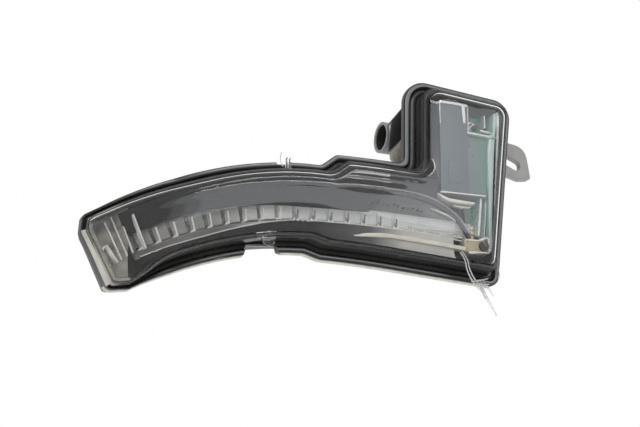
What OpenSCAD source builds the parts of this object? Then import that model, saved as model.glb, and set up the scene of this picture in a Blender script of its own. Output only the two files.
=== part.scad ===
// Door mirror indicator lamp with a curved arm, an upright tower and a fixing ear.
// X runs along the lamp, the lens faces -Y and Z points up, all in millimetres.
// The origin is the middle of the ear's slot, on the ear's rear face.
// Sizes of the outline are taken from the design datum: the point where the arm starts to
// wrap backward, on the flange surface of the lens, level with the light guide's lower edge.

/* [Arm outline] */
// Length of the arm from the wrap start to the tip of the rim
arm_l = 151.3; // [130:1:170]
// Radius of the rim's upper arc, seen from the front
top_arc_r = 189; // [176:1:220]
// Radius of the rim's lower arc, seen from the front
low_arc_r = 165; // [155:1:190]
// Distance from the wrap start to the crown of both arcs
crown_x = 50; // [40:1:60]
// Height of the upper arc's crown
top_crown_z = 30.7; // [29:0.1:33]
// Height of the lower arc's crown
low_crown_z = -17.3; // [-20:0.1:-16]
// Height of the rim's straight upper edge beside the tower
top_straight_z = 36.8; // [35:0.1:40]
// Height of the rim's straight lower edge at the wrap start
low_straight_z = -21.7; // [-26:0.1:-21]
// Fall of the lower edge for each millimetre toward the tower
low_slope = 0.04; // [0:0.01:0.08]
// Distance from the wrap start to the near end of the upper step
top_step_x = 31; // [26:1:36]
// Distance from the wrap start to the near end of the lower step
low_step_x = 40; // [36:1:46]
// Length of each step
step_l = 8; // [6:0.5:10]
// Height of the blunt part of the tip above its knee
tip_blunt_h = 9; // [5:0.5:12]
// Height of the tip's lower corner
tip_low_z = -38.2; // [-39:0.1:-35]
// How far the tip's lower corner lies back from the tip
tip_rake = 12; // [8:0.5:14]

/* [Tower outline] */
// Rim's left edge at the arm, from the wrap start
tower_x = 6.5; // [5:0.5:9]
// Width of the tower's rim at the foot
tower_w = 54.3; // [50:0.1:60]
// Height of the tower's left top corner
tower_z = 85.1; // [78:0.1:92]
// Lean of the right edge over the whole height
right_lean = 11.2; // [8:0.1:13]
// Fall of the top edge from left to right
top_fall = 4.6; // [2:0.1:6]
// Corner radius at the tower's left top
left_corner_r = 13; // [12:0.5:16]
// Corner radius at the tower's right top
right_corner_r = 10; // [9:0.5:14]
// Corner radius at the tower's foot
foot_corner_r = 6; // [4:0.5:9]
// Radius of the inside corner between arm and tower
inside_corner_r = 4; // [2:0.5:5]

/* [Section] */
// Plan radius to which the arm wraps backward
wrap_r = 236; // [225:1:280]
// Depth of the housing behind the flange surface
housing_depth = 26; // [24:0.5:30]
// Wall thickness of the housing
wall = 2; // [1.6:0.1:2.6]
// Width of the ledge between the rim's edge and the lens
ledge_w = 6; // [5:0.1:7]
// Share of the ledge's width that is left at the tip
tip_share = 0.3; // [0.2:0.05:0.5]
// Share of the ledge's width along the tower's left edge
left_share = 1.25; // [1:0.05:1.4]
// How much shallower the housing is at the tip than at the tower
tip_rise_d = 13.5; // [12:0.5:13.5]
// How much nearer to the lens's flange the rim lies at the tip
rim_rise_d = 7; // [5:0.5:7]
// Depth from the flange surface to the front of the rim
rim_drop = 8; // [7:0.1:9]
// Width of the raised ridge along the rim's edge
ridge_w = 2.6; // [2:0.1:3]
// Depth of the groove behind the ridge
groove_d = 2.4; // [1.8:0.1:3]
// Thickness of the flange behind the groove
flange_t = 2.1; // [1.6:0.1:3]
// Height of the lens in front of the flange surface
lens_h = 4.5; // [4:0.1:6]
// Width of the lens's rounded shoulder
shoulder_w = 6; // [5:0.1:7]
// Wall thickness of the lens
lens_t = 2.2; // [1.8:0.1:2.4]
// Clearance between pieces that lie against each other
gap = 0.2; // [0.1:0.05:0.3]

/* [Light guide] */
// Height of the light guide
guide_h = 8; // [6:0.5:10]
// Depth of the light guide
guide_d = 5; // [4:0.5:6]
// Height of the guide's middle where it runs straight
guide_z = 3.7; // [2:0.1:5]
// Depth of the guide's front behind the flange surface
guide_o = 6; // [5:0.1:7]
// Number of prism teeth along the guide
teeth = 16; // [10:1:18]
// Depth of each prism tooth
tooth_d = 1.6; // [0.8:0.1:2]
// Length of the straight run past the wrap start
guide_run = 43.5; // [40:0.5:45]
// Length of the tip beyond the end of the guide
tip_l = 23.1; // [21:0.1:27]
// Number of ribs on the reflector at the tip
tip_ribs = 6; // [4:1:8]

/* [Electronics] */
// Thickness of the circuit board
board_t = 1.6; // [1:0.1:2]
// Depth of the board's front behind the flange surface
board_y = 12.3; // [12:0.1:13]
// Clearance between the board's right edge and the tower's wall
board_gap = 2.75; // [2.5:0.05:4]
// Width of the board
board_w = 27; // [25:0.5:27]
// Height of the board's upper edge
board_z = 70; // [66:0.5:72]
// Number of indicator light sources in the row at the guide's end
led_count = 3; // [2:1:3]
// Shank radius of the small screws
screw_r = 1.3; // [1:0.1:1.5]

/* [Rear cover and connector] */
// Depth of the rear cover's box behind its flange
cover_d = 17; // [16.5:0.5:20]
// Thickness of the rear cover's flange
cover_flange_t = 2.5; // [2:0.1:3]
// Thickness of the gasket under the rear cover
gasket_t = 1; // [0.6:0.1:1.4]
// Outer radius of the connector tube
socket_r = 8.5; // [8:0.1:9]
// Inner radius of the connector tube's sealing land
land_r = 7; // [6:0.1:7.2]
// Length of the sealing land at the mouth
land_l = 8; // [6:0.5:9]
// Inner radius of the narrow part that holds the terminals
throat_r = 5.2; // [4.5:0.1:5.5]
// Length of the connector tube in front of the cover's box
socket_l = 11.5; // [10:0.5:13]
// Height of the connector tube's axis
socket_z = 60.4; // [56:0.1:62]
// Number of blades in the connector
blades = 3; // [2:1:4]

/* [Fixing ear] */
// Thickness of the fixing ear
ear_t = 4; // [3:0.1:5]
// Distance from the wrap start to the middle of the slot
ear_x = 82.5; // [80:0.5:86]
// Height of the middle of the slot
ear_z = 53.9; // [50:0.1:56]
// Height of the ear at the slot
ear_h = 18.5; // [16:0.5:22]
// Width of the slot
slot_w = 5.6; // [5.5:0.1:6]
// Length of the slot between the centres of its round ends
slot_l = 5.5; // [4:0.5:6]
// Slope of the slot below the level
slot_tilt = 22; // [0:1:25]

/* [Hidden] */

$fn = 48;
// Number of segments in each rounded corner of the outline
corner_n = 4;
// Thin overlap that makes a cut run clear through
eps = 0.01;
// Clearance between flat faces that seat on each other
seat_gap = 0.02;

// Levels of the section: insets from the rim's edge and depths behind the flange surface
groove_m = ridge_w + 0.6;
wall_m = ledge_w + 0.2;
inner_m = wall_m + wall;
groove_o = rim_drop + groove_d;
flange_o = groove_o + flange_t;
lens_foot_o = 2.2;
seat_o = lens_foot_o + 0.6;
back_o = housing_depth;
floor_o = housing_depth - wall;

// Places along the tower
foot_z = low_straight_z - low_slope * (tower_x + tower_w);
right_x = tower_x + tower_w;
top_right_x = right_x + right_lean;
top_right_z = tower_z - top_fall;

// Places of the electronics and the cover
board_back_y = board_y + board_t;
leg_w = 13;
leg_z = -8;
shoulder_z = 24;
board_end_x = right_x + right_lean * (shoulder_z - foot_z) / (top_right_z - foot_z) - inner_m - board_gap;
board_x = board_end_x - board_w;
leg_x = board_end_x - leg_w;
guide_end_x = guide_run;
led_x = guide_end_x + gap;
led_w = 3;
cover_y = back_o + gasket_t;
cover_x0 = 18;
cover_x1 = 57;
cover_z0 = 22;
cover_z1 = 76;
cover_wall = 2.2;
socket_y = cover_y + cover_flange_t + 6;
mouth_x = cover_x0 - socket_l;
seat_y = cover_y + ear_t;
board_screw_at = [[board_x + 4, board_z - 5], [board_end_x - 7, board_z - 6], [leg_x + 5, shoulder_z + 6]];
cover_screw_at = [[cover_x0 + 3.5, cover_z0 + 4], [cover_x1 - 4, cover_z0 + 4], [cover_x1 - 4, cover_z1 - 4]];
screw_head_r = 2.6;
screw_head_h = 1.6;
holder_screw_at = [leg_x + 8, leg_z + 3.6];

// Depth along Y of a point at height-independent depth o behind the wrapped flange surface
function wrap_y(x, o) = x >= 0 ? o : wrap_r - sqrt(pow(wrap_r - o, 2) - x * x);
function mix(a, b, t) = a + (b - a) * t;
function clamp01(t) = min(1, max(0, t));
// Depth by which the rear wall lies nearer to the lens toward the tip
function tip_rise_at(x) = tip_rise_d * clamp01((-x - 2 * crown_x) / (arm_l - 2 * crown_x - 4));
function rim_rise_at(x) = rim_rise_d * clamp01((-x - 2.2 * crown_x) / (arm_l - 2.2 * crown_x - 4));
function arc_z(x, r, crown_z) = crown_z - r + sqrt(r * r - pow(x + crown_x, 2));

// Height of the rim's upper and lower edge along the arm
function top_z(x) =
    mix(arc_z(x, top_arc_r, top_crown_z), top_straight_z, clamp01((x + top_step_x + step_l) / step_l));
function low_z(x) =
    mix(arc_z(x, low_arc_r, low_crown_z), low_straight_z - low_slope * x,
        clamp01((x + low_step_x + step_l) / step_l));

// Stations along an edge of the arm: its straight run, the two corners of its step, its arc
run_n = 3;
arc_n = 12;
step_r = 4;
function stations(step_x, end_x) = concat(
    [for (i = [0:run_n - 1]) -step_x * i / run_n],
    [-step_x, -step_x - step_l],
    [for (i = [1:arc_n]) mix(-step_x - step_l, end_x, i / arc_n)]
);
function station_r(i) = i == run_n || i == run_n + 1 ? step_r : 0;

// Control points of the rim's outline: x, z, corner radius, share of the ledge on the edge that follows
top_x_list = stations(top_step_x, -arm_l + 6);
low_x_list = stations(low_step_x, -arm_l + tip_rake + 10);
station_n = len(top_x_list);
arm_n = station_n + 2 * corner_n;
tip_top_z = top_z(-arm_l + 1);
// The ledge narrows over the last stations before the tip
function low_share(i) = mix(1, tip_share, clamp01((i - station_n + 3) / 2));
function top_share(i) = mix(1, 1.6 * tip_share, clamp01((i - station_n + 6) / 5));
tip_points = [
    [-arm_l, tip_top_z, 3, tip_share],
    [-arm_l - 0.6, tip_top_z - tip_blunt_h, 8, tip_share],
    [-arm_l + tip_rake, tip_low_z, 4, tip_share]
];
tower_points = [
    [right_x, foot_z, foot_corner_r, 1],
    [top_right_x, top_right_z, right_corner_r, 1],
    [tower_x + 1, tower_z, left_corner_r, left_share],
    [tower_x, top_straight_z, inside_corner_r, 1]
];
outline = concat(
    [for (i = [0:station_n - 1]) [top_x_list[i], top_z(top_x_list[i]), station_r(i), top_share(i)]],
    tip_points,
    [for (i = [station_n - 1:-1:0]) [low_x_list[i], low_z(low_x_list[i]), station_r(i), low_share(i)]],
    tower_points
);
outline_n = len(outline);

function flat(p) = [p[0], p[1]];
function cross2(a, b) = a[0] * b[1] - a[1] * b[0];
function edge_normal(a, b) = [a[1] - b[1], b[0] - a[0]] / norm(flat(b) - flat(a));

// Inset of an edge that takes a share of the ledge's width, and a larger share of what lies inside it
function edge_inset(m, share) = min(m, ledge_w) * share + max(0, m - ledge_w) * mix(0.5, 1, share);

// Corner of the outline moved inward by the insets of its two edges
function inset_corner(i, m) = let (
    before = outline[(i + outline_n - 1) % outline_n],
    here = outline[i],
    after = outline[(i + 1) % outline_n],
    n1 = edge_normal(before, here),
    n2 = edge_normal(here, after),
    d1 = edge_inset(m, before[3]),
    d2 = edge_inset(m, here[3]),
    c = cross2(n1, n2)
) flat(here) + (abs(c) < 0.1
    ? (n1 + n2) * (d1 + d2) / 2 / (1 + n1 * n2)
    : [d1 * n2[1] - d2 * n1[1], n1[0] * d2 - n2[0] * d1] / c);

// Rounded corner b between a and c, at least a millimetre long to each side.
// It takes less than half of each edge, or most of an edge toward a point with no radius.
function fillet(a, b, c, r, a_part = 0.45, c_part = 0.45) = let (
    u = (a - b) / norm(a - b),
    v = (c - b) / norm(c - b),
    half = acos(u * v) / 2,
    t = min(max(1, r / tan(half)), norm(a - b) * a_part, norm(c - b) * c_part),
    arc_r = t * tan(half),
    centre = b + (u + v) / norm(u + v) * arc_r / sin(half),
    from = b + u * t - centre,
    to = b + v * t - centre,
    a0 = atan2(from[1], from[0]),
    turn = (atan2(to[1], to[0]) - a0 + 540) % 360 - 180
) [for (i = [0:corner_n]) centre + arc_r * [cos(a0 + turn * i / corner_n), sin(a0 + turn * i / corner_n)]];

// Where the line through a along u meets the line through b along v
function meet(a, u, b, v) = a + u * cross2(b - a, v) / cross2(u, v);

// A deep inset passes the tip's knee: the upper corner then lies on the raked edge below it
knee_gap = 2.4;
function past_knee(pts) = let (
    i = station_n,
    along = (pts[i + 2] - pts[i + 1]) / norm(pts[i + 2] - pts[i + 1]),
    corner = meet(pts[i - 1], pts[i] - pts[i - 1], pts[i + 1], along)
) [for (j = [0:outline_n - 1])
    j == i ? corner
    : j == i + 1 ? corner + along * knee_gap + [along[1], -along[0]] * 0.03
    : pts[j]];

// Whole outline at inset m, as points in the X-Z plane
function loop(m) = let (
    moved = [for (i = [0:outline_n - 1]) inset_corner(i, m)],
    pts = moved[station_n][1] > moved[station_n + 1][1] + knee_gap ? moved : past_knee(moved)
) [
    for (i = [0:outline_n - 1]) let (
        r = outline[i][2],
        a_part = outline[(i + outline_n - 1) % outline_n][2] == 0 ? 0.9 : 0.45,
        c_part = outline[(i + 1) % outline_n][2] == 0 ? 0.9 : 0.45,
        a = pts[(i + outline_n - 1) % outline_n],
        b = pts[i],
        c = pts[(i + 1) % outline_n],
        convex = cross2(b - a, c - b) > 0,
        share = (outline[(i + outline_n - 1) % outline_n][3] + outline[i][3]) / 2,
        d = edge_inset(m, share)
    ) each r == 0 ? [b] : fillet(a, b, c, convex ? max(r / 2, r - d) : r + 0.6 * d, a_part, c_part)
];
tip_n = 3 * (corner_n + 1);
loop_n = 2 * arm_n + tip_n + 4 * (corner_n + 1);
low_start = arm_n + tip_n;
low_end = low_start + arm_n - 1;

// Outline at inset m laid at depth o behind the wrapped flange surface. Toward the tip the
// rim and the rear wall come nearer to that surface.
function lifted(x, o) = o - (o > flange_o + eps ? tip_rise_at(x) : o > rim_drop - 2 ? rim_rise_at(x) : 0);
function laid(m, o) = [for (p = loop(m)) [p[0], wrap_y(p[0], lifted(p[0], o)), p[1]]];
function reversed(list) = [for (i = [len(list) - 1:-1:0]) list[i]];

// Two triangles of a face with four corners
function halves(a, b, c, d) = [[a, b, c], [a, c, d]];

// Faces that join neighbouring loops, and faces that close one loop
function band_faces(k0, k1) = [
    for (i = [0:loop_n - 1]) let (j = (i + 1) % loop_n)
        each halves(k0 * loop_n + i, k0 * loop_n + j, k1 * loop_n + j, k1 * loop_n + i)
];
function cap_faces(k) = let (s = k * loop_n) concat(
    [for (i = [0:arm_n - 2]) each halves(s + i, s + i + 1, s + low_end - i - 1, s + low_end - i)],
    [for (j = [arm_n:low_start - 1]) [s + arm_n - 1, s + j, s + j + 1]],
    tower_fan([for (j = [low_end:loop_n]) s + j % loop_n], corner_n - 1)
);
// Triangles of the flat tower, all from one point in the corner of its foot
function tower_fan(around, hub) = let (n = len(around))
    [for (k = [1:n - 2]) [around[hub], around[(hub + k) % n], around[(hub + k + 1) % n]]];

// Shell whose section is a list of inset and depth pairs, closed by a cap at both ends of the list
module cup(section, opens_back = true) {
    points = [for (p = section) each laid(p[0], p[1])];
    last = len(section) - 1;
    faces = concat(
        [for (f = cap_faces(0)) reversed(f)],
        [for (k = [0:last - 1]) each band_faces(k, k + 1)],
        cap_faces(last)
    );
    polyhedron(points, opens_back ? faces : [for (f = faces) reversed(f)]);
}

// Closed ring whose section is a list of inset and depth pairs
module ring(section) {
    points = [for (p = section) each laid(p[0], p[1])];
    n = len(section);
    polyhedron(points, [for (k = [0:n - 1]) each band_faces(k, (k + 1) % n)]);
}

// Bar along X through sections that are given as lists of height and depth pairs.
// A section that isn't convex names the convex pieces of its ends.
module bar(xs, sections, ends = undef) {
    n = len(sections[0]);
    last = len(xs) - 1;
    end_faces = is_undef(ends) ? [[for (j = [0:n - 1]) j]] : ends;
    points = [for (i = [0:last]) for (p = sections[i]) [xs[i], wrap_y(xs[i], p[1]), p[0]]];
    polyhedron(points, concat(
        [for (f = end_faces) reversed(f)],
        [for (i = [0:last - 1]) for (j = [0:n - 1])
            each halves(i * n + j, i * n + (j + 1) % n, (i + 1) * n + (j + 1) % n, (i + 1) * n + j)],
        [for (f = end_faces) [for (j = f) last * n + j]]
    ));
}

// Puts the design datum where it lies from the middle of the ear's slot
module place() {
    translate([-ear_x, -seat_y, -ear_z]) children();
}

module along_y(x, z, y0, y1, r) {
    translate([x, y1, z]) rotate([90, 0, 0]) cylinder(h = y1 - y0, r = r);
}

module block(x0, x1, y0, y1, z0, z1) {
    translate([x0, y0, z0]) cube([x1 - x0, y1 - y0, z1 - z0]);
}

module plate(points, y0, y1) {
    translate([0, y1, 0]) rotate([90, 0, 0]) linear_extrude(y1 - y0) polygon(points);
}

// Height of the light guide's middle and reach of the inner walls along the arm
guide_arc_r = guide_z - low_crown_z + low_arc_r;
function guide_mid(x) = x > -crown_x ? guide_z : arc_z(x, guide_arc_r, guide_z);
function edge_tilt(x, r) = x > -crown_x ? 0 : asin((-x - crown_x) / r);
function beside_step(x, part) = x > -crown_x ? x - part * inner_m : x;
function inner_top(x) = top_z(beside_step(x, 0.55)) - inner_m / cos(edge_tilt(x, top_arc_r)) - gap;
function inner_low(x) = low_z(beside_step(x, 0.7)) + inner_m / cos(edge_tilt(x, low_arc_r)) + gap;
guide_tip_x = -arm_l + tip_l;
tooth_lead = 4;
tooth_pitch = ((wrap_r - guide_o) * asin(-guide_tip_x / (wrap_r - guide_o)) * PI / 180 - tooth_lead) / (teeth - 1);
function bar_xs(x0, x1, n) = [for (i = [0:n]) mix(x0, x1, i / n)];

// Notches in the rim that let the lens's clips through
top_notch_x = -58.9;
top_notch_w = 5.4;
low_notch_x = -68.5;
low_notch_w = 14.4;
low_notch_h = 4.4;

module rim_notches(margin = 0) {
    y0 = wrap_y(low_notch_x + low_notch_w / 2, rim_drop) - 2;
    y1 = wrap_y(top_notch_x - low_notch_w, flange_o) + 6;
    top = top_z(top_notch_x) - 1.4 - margin;
    low = low_z(low_notch_x) + low_notch_h + margin;
    half = low_notch_w / 2 + margin;
    block(top_notch_x - top_notch_w / 2 - margin, top_notch_x + top_notch_w / 2 + margin,
        y0, y1, top, top + 6);
    plate([
        [low_notch_x - half - 2, low - 8], [low_notch_x + half + 2, low - 8],
        [low_notch_x + half, low], [low_notch_x - half, low]
    ], y0, y1);
}

// Bosses that stand on the housing's rear wall, and the holes that are tapped in them
boss_r = 3.2;
tap_r = screw_r + 0.1;
clear_r = screw_r + 0.25;
board_boss_l = 7;
cover_boss_l = 7;

module screw_bosses() {
    for (p = concat(board_screw_at, [holder_screw_at]))
        along_y(p[0], p[1], board_back_y, back_o - 0.5, boss_r);
    for (p = cover_screw_at)
        along_y(p[0], p[1], floor_o - cover_boss_l, back_o - 0.5, boss_r);
}

module tapped_holes() {
    for (p = concat(board_screw_at, [holder_screw_at]))
        along_y(p[0], p[1], board_back_y - eps, board_back_y + board_boss_l, tap_r);
    for (p = cover_screw_at)
        along_y(p[0], p[1], back_o - cover_boss_l, back_o + eps, tap_r);
}

// Window in the rear wall through which the terminals reach the board
window_x0 = 36.5;
window_x1 = 45.5;
window_h = 12;

// Web that stands out from the tower's wall beside the connector tube
web_t = 2.6;

module housing_web() {
    x0 = mouth_x + 0.2;
    x1 = tower_x + edge_inset(wall_m, left_share) + wall * 0.75;
    y1 = back_o - 0.4;
    plate([
        [x0, socket_z - 13], [x0, socket_z + 5], [x1, socket_z + 16.5], [x1, socket_z - 0.5]
    ], y1 - web_t, y1);
}

module rear_housing() {
    color([0.10, 0.10, 0.11]) place() difference() {
        union() {
            cup([
                [wall_m + 3, back_o], [wall_m + 1, back_o - 0.7], [wall_m, back_o - 2.5],
                [wall_m, flange_o], [0.9, flange_o], [0, flange_o - 0.9],
                [0, rim_drop + 0.6], [0.6, rim_drop], [ridge_w, rim_drop],
                [groove_m, groove_o], [wall_m, groove_o], [wall_m, seat_o],
                [inner_m, seat_o], [inner_m, floor_o - 1.5], [inner_m + 2, floor_o]
            ], false);
            screw_bosses();
            housing_web();
        }
        tapped_holes();
        rim_notches();
        block(window_x0, window_x1, floor_o - 1, back_o + 1,
            socket_z - window_h / 2, socket_z + window_h / 2);
    }
}

// Clips of the lens: two fingers in the upper notch and a round foot in the lower one
module lens_clips() {
    finger_w = 1.1;
    finger_y = wrap_y(top_notch_x, 0);
    for (side = [-1, 1])
        translate([side * 0.9, 0, 0])
            block(top_notch_x - finger_w / 2, top_notch_x + finger_w / 2,
                finger_y - 0.4, finger_y + 1.6, top_z(top_notch_x) - ledge_w - 1, top_z(top_notch_x) + 1.4);
    foot_y = wrap_y(low_notch_x, 0);
    foot_r = 3.8;
    along_y(low_notch_x, low_z(low_notch_x) + ledge_w - 0.6, foot_y - 0.6, foot_y + 0.9, foot_r);
}

// Quarter ellipse from the lens's flange, at angle 0, to its face, at angle 90, t inside the surface
shoulder_m = ledge_w + 0.5;
function shoulder(a, t) = [
    shoulder_m + shoulder_w - (shoulder_w - t) * cos(a),
    -0.4 - (lens_h - 0.4 - t) * sin(a)
];

module lens() {
    color([0.80, 0.84, 0.86, 0.45]) place() union() {
        cup([
            for (a = [90:-22.5:0]) shoulder(a, 0),
            [ledge_w, -0.4], [ledge_w, lens_foot_o], [shoulder_m + lens_t, lens_foot_o],
            for (a = [15:25:90]) shoulder(a, lens_t)
        ]);
        lens_clips();
    }
}

module lens_seal() {
    m0 = ledge_w + 0.6;
    m1 = inner_m - 0.4;
    o0 = lens_foot_o + 0.05;
    o1 = seat_o - 0.05;
    color([0.20, 0.20, 0.21]) place() ring([[m0, o0], [m0, o1], [m1, o1], [m1, o0]]);
}

module rim_seal() {
    m0 = groove_m + gap;
    m1 = wall_m - gap;
    o0 = groove_o - 1.5;
    o1 = groove_o - 0.05;
    color([0.15, 0.15, 0.15]) place() difference() {
        ring([[m0, o0 + 0.5], [m0, o1], [m1, o1], [m1, o0 + 0.5], [(m0 + m1) / 2, o0]]);
        rim_notches(gap);
    }
}

// Teeth lie at equal steps along the wrapped guide
tooth_half_w = 0.9;
guide_back_o = guide_o + guide_d;
function tooth_x(k) = -(wrap_r - guide_o) * sin(k * tooth_pitch / (wrap_r - guide_o) * 180 / PI);
function guide_section(x, back) = let (mid = guide_mid(x), h = guide_h / 2)
    [[mid - h, guide_o], [mid + h, guide_o], [mid + h, back], [mid - h, back]];

module light_guide() {
    stops = concat(
        [[guide_tip_x, 0]],
        [for (k = [teeth - 1:-1:0]) each [
            [tooth_x(k) - tooth_half_w, 0], [tooth_x(k), tooth_d], [tooth_x(k) + tooth_half_w, 0]
        ]],
        [[guide_end_x, 0]]
    );
    color([0.86, 0.88, 0.88, 0.7]) place()
        bar([for (s = stops) s[0]], [for (s = stops) guide_section(s[0], guide_back_o - s[1])]);
}

// Tray behind the guide, with a web that stands on the housing's rear wall
tray_t = 1.5;
tray_o = guide_back_o + gap;
holder_x = leg_x - 3;
tray_end_x = holder_x - 2 * gap;
web_half = 1;
edge_taper = 0.3;
tee_ends = [[0, 1, 2, 3, 6, 7], [3, 4, 5, 6]];
// The web stands on the rear wall as far as that is level, and just clears it where it rises
function web_foot(x) = floor_o - tip_rise_at(x) - (x > -1.7 * crown_x ? gap : 3 * gap);
function tray_half(x) = mix(7, guide_h / 2 + 0.4, clamp01((x + 2 * crown_x) / crown_x));
function tray_section(x) = let (mid = guide_mid(x), h = tray_half(x)) [
    [mid - h, tray_o], [mid + h, tray_o], [mid + h, tray_o + tray_t - edge_taper],
    [mid + web_half, tray_o + tray_t], [mid + web_half, web_foot(x)],
    [mid - web_half, web_foot(x)], [mid - web_half, tray_o + tray_t], [mid - h, tray_o + tray_t - edge_taper]
];

module guide_reflector() {
    xs = bar_xs(guide_tip_x, tray_end_x, 20);
    color([0.72, 0.73, 0.74]) place() bar(xs, [for (x = xs) tray_section(x)], tee_ends);
}

// Ribbed reflector that closes the tip
rib_o = 3;
rib_d = 2.6;
tip_block_o = 8;
tip_x0 = -arm_l + 5;
tip_x1 = guide_tip_x - 0.4;
knee_z = tip_top_z - tip_blunt_h;
tip_slope = (knee_z - tip_low_z) / (tip_rake + 0.6);
tip_rise = (edge_inset(inner_m, tip_share) + 2 * gap) * sqrt(1 + tip_slope * tip_slope);
function tip_low(x) = max(inner_low(x), knee_z - (x + arm_l + 0.6) * tip_slope + tip_rise);
function tip_section(x, front) = let (a = tip_low(x), b = inner_top(x), mid = (a + b) / 2) [
    [a, front], [b, front], [b, tip_block_o - edge_taper], [mid + web_half, tip_block_o],
    [mid + web_half, floor_o - tip_rise_at(x) - gap], [mid - web_half, floor_o - tip_rise_at(x) - gap],
    [mid - web_half, tip_block_o], [a, tip_block_o - edge_taper]
];

module tip_reflector() {
    stops = [for (i = [0:2 * tip_ribs]) [mix(tip_x0, tip_x1, i / (2 * tip_ribs)), i % 2 * rib_d]];
    color([0.84, 0.84, 0.80]) place()
        bar([for (s = stops) s[0]], [for (s = stops) tip_section(s[0], rib_o + s[1])], tee_ends);
}

// Dark trim above and below the guide
bezel_t = 1.6;
bezel_wall_o = 3.4;
bezel_guide_o = 5.6;
bezel_end_x = 23;

module upper_bezel() {
    xs = bar_xs(guide_tip_x, bezel_end_x, 26);
    color([0.13, 0.13, 0.14]) place() bar(xs, [for (x = xs) let (
        a = guide_mid(x) + guide_h / 2 + 2 * gap,
        b = inner_top(x) - 0.4 * gap
    ) [[a, bezel_guide_o], [b, bezel_wall_o], [b, bezel_wall_o + bezel_t], [a, bezel_guide_o + bezel_t]]]);
}

module lower_bezel() {
    xs = bar_xs(guide_tip_x, tray_end_x - 2, 26);
    color([0.16, 0.16, 0.17]) place() bar(xs, [for (x = xs) let (
        a = inner_low(x),
        b = guide_mid(x) - guide_h / 2 - 2 * gap
    ) [[a, bezel_wall_o], [b, bezel_guide_o], [b, bezel_guide_o + bezel_t], [a, bezel_wall_o + bezel_t]]]);
}

// Grey frame in the tower: its plate hides the board and its walls keep the light in the row
tower_cover_y = 3;
tower_cover_t = 1.5;
tower_cover_x = board_x - 3;
tower_cover_w = 16.5;
tower_cover_z = 22;
tower_cover_top = board_z + 2;

module tower_cover() {
    y0 = tower_cover_y;
    y1 = y0 + tower_cover_t;
    front_end = board_y - gap;
    x0 = tower_cover_x;
    t = tower_cover_t;
    color([0.55, 0.57, 0.60]) place() union() {
        block(x0, x0 + tower_cover_w, y0, y1, tower_cover_z, tower_cover_top);
        block(x0, x0 + t, y0, floor_o - gap, tower_cover_z, tower_cover_top);
        block(x0, x0 + tower_cover_w, y0, floor_o - gap, tower_cover_top - t, tower_cover_top);
        block(x0, board_end_x - 3, y0, front_end, tower_cover_z, tower_cover_z + t);
        block(leg_x + 6.5, leg_x + 8, y0, front_end, guide_z - 2, tower_cover_z + eps);
        plate([
            [x0, tower_cover_z - 0.6], [x0, tower_cover_z + eps], [x0 + 3, tower_cover_z + eps],
            [leg_x + 3, tower_cover_z - 2.8], [leg_x + 3, tower_cover_z - 4]
        ], y0, front_end);
    }
}

board_taper = 1.7;

module circuit_board() {
    x1 = board_end_x;
    color([0.20, 0.45, 0.33]) place() difference() {
        plate([
            [board_x, shoulder_z], [leg_x, shoulder_z], [leg_x, leg_z],
            [x1 - board_taper, leg_z], [x1, shoulder_z], [x1, board_z], [board_x, board_z]
        ], board_y, board_back_y);
        for (p = concat(board_screw_at, [holder_screw_at]))
            along_y(p[0], p[1], board_y - 1, board_back_y + 1, clear_r);
        for (i = [0:blades - 1])
            along_y(blade_x, blade_z(i), board_y - 1, board_back_y + 1, blade_half_w * 1.6);
    }
}

// Side-firing light sources in a row before the end of the guide
led_h = 2;
led_step = 2.6;
led_d = 3.4;

module indicator_leds() {
    color([0.93, 0.90, 0.72]) place() for (i = [0:led_count - 1]) {
        z = guide_z + (i - (led_count - 1) / 2) * led_step;
        block(led_x, led_x + led_w, board_y - led_d, board_y, z - led_h / 2, z + led_h / 2);
    }
}

module driver_chip() {
    x0 = board_end_x - 7;
    z0 = shoulder_z + 18;
    body = 5;
    color([0.08, 0.08, 0.09]) place() union() {
        block(x0, x0 + body, board_y - 1.3, board_y - 0.1, z0, z0 + body);
        for (side = [-1, 1]) for (i = [0:3])
            translate([x0 + body / 2 + side * (body / 2 + 0.35), 0, z0 + 0.7 + i * 1.2])
                block(-0.45, 0.45, board_y - 0.5, board_y, -0.2, 0.2);
    }
}

module protection_diode() {
    color([0.12, 0.12, 0.12]) place()
        block(board_end_x - 11, board_end_x - 8.4, board_y - 2, board_y,
            shoulder_z + 12, shoulder_z + 16.2);
}

module resistors() {
    color([0.22, 0.22, 0.24]) place() for (i = [0:4])
        translate([board_end_x - 10.5, 0, shoulder_z + 20 + i * 2.4])
            block(0, 1.6, board_y - 0.6, board_y, 0, 0.9);
}

module capacitors() {
    color([0.72, 0.62, 0.45]) place() for (i = [0:2])
        translate([board_end_x - 5.4, 0, shoulder_z + 26 + i * 2.6])
            block(0, 2, board_y - 1.2, board_y, 0, 1.3);
}

module screw(x, z, head_y, length) {
    along_y(x, z, head_y - screw_head_h, head_y, screw_head_r);
    along_y(x, z, head_y - eps, head_y + length, screw_r);
}

module board_screws() {
    color([0.10, 0.10, 0.11]) place() for (p = board_screw_at)
        screw(p[0], p[1], board_y, board_t + board_boss_l - 1);
}

// Block that clamps the end of the guide at the foot of the tower
holder_y = 5;

module guide_holder() {
    p = holder_screw_at;
    color([0.84, 0.82, 0.72]) place() difference() {
        plate([
            [holder_x, leg_z], [board_end_x - board_taper - 0.4, leg_z],
            [board_end_x - board_taper, guide_z - guide_h / 2 - gap - 1.5],
            [board_end_x - board_taper - 3, guide_z - guide_h / 2 - gap],
            [holder_x, guide_z - guide_h / 2 - gap]
        ], holder_y, board_y);
        along_y(p[0], p[1], holder_y - 1, board_y + 1, clear_r);
    }
}

module holder_screw() {
    color([0.12, 0.12, 0.12]) place()
        screw(holder_screw_at[0], holder_screw_at[1], holder_y, board_back_y - holder_y + board_boss_l - 1);
}

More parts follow.
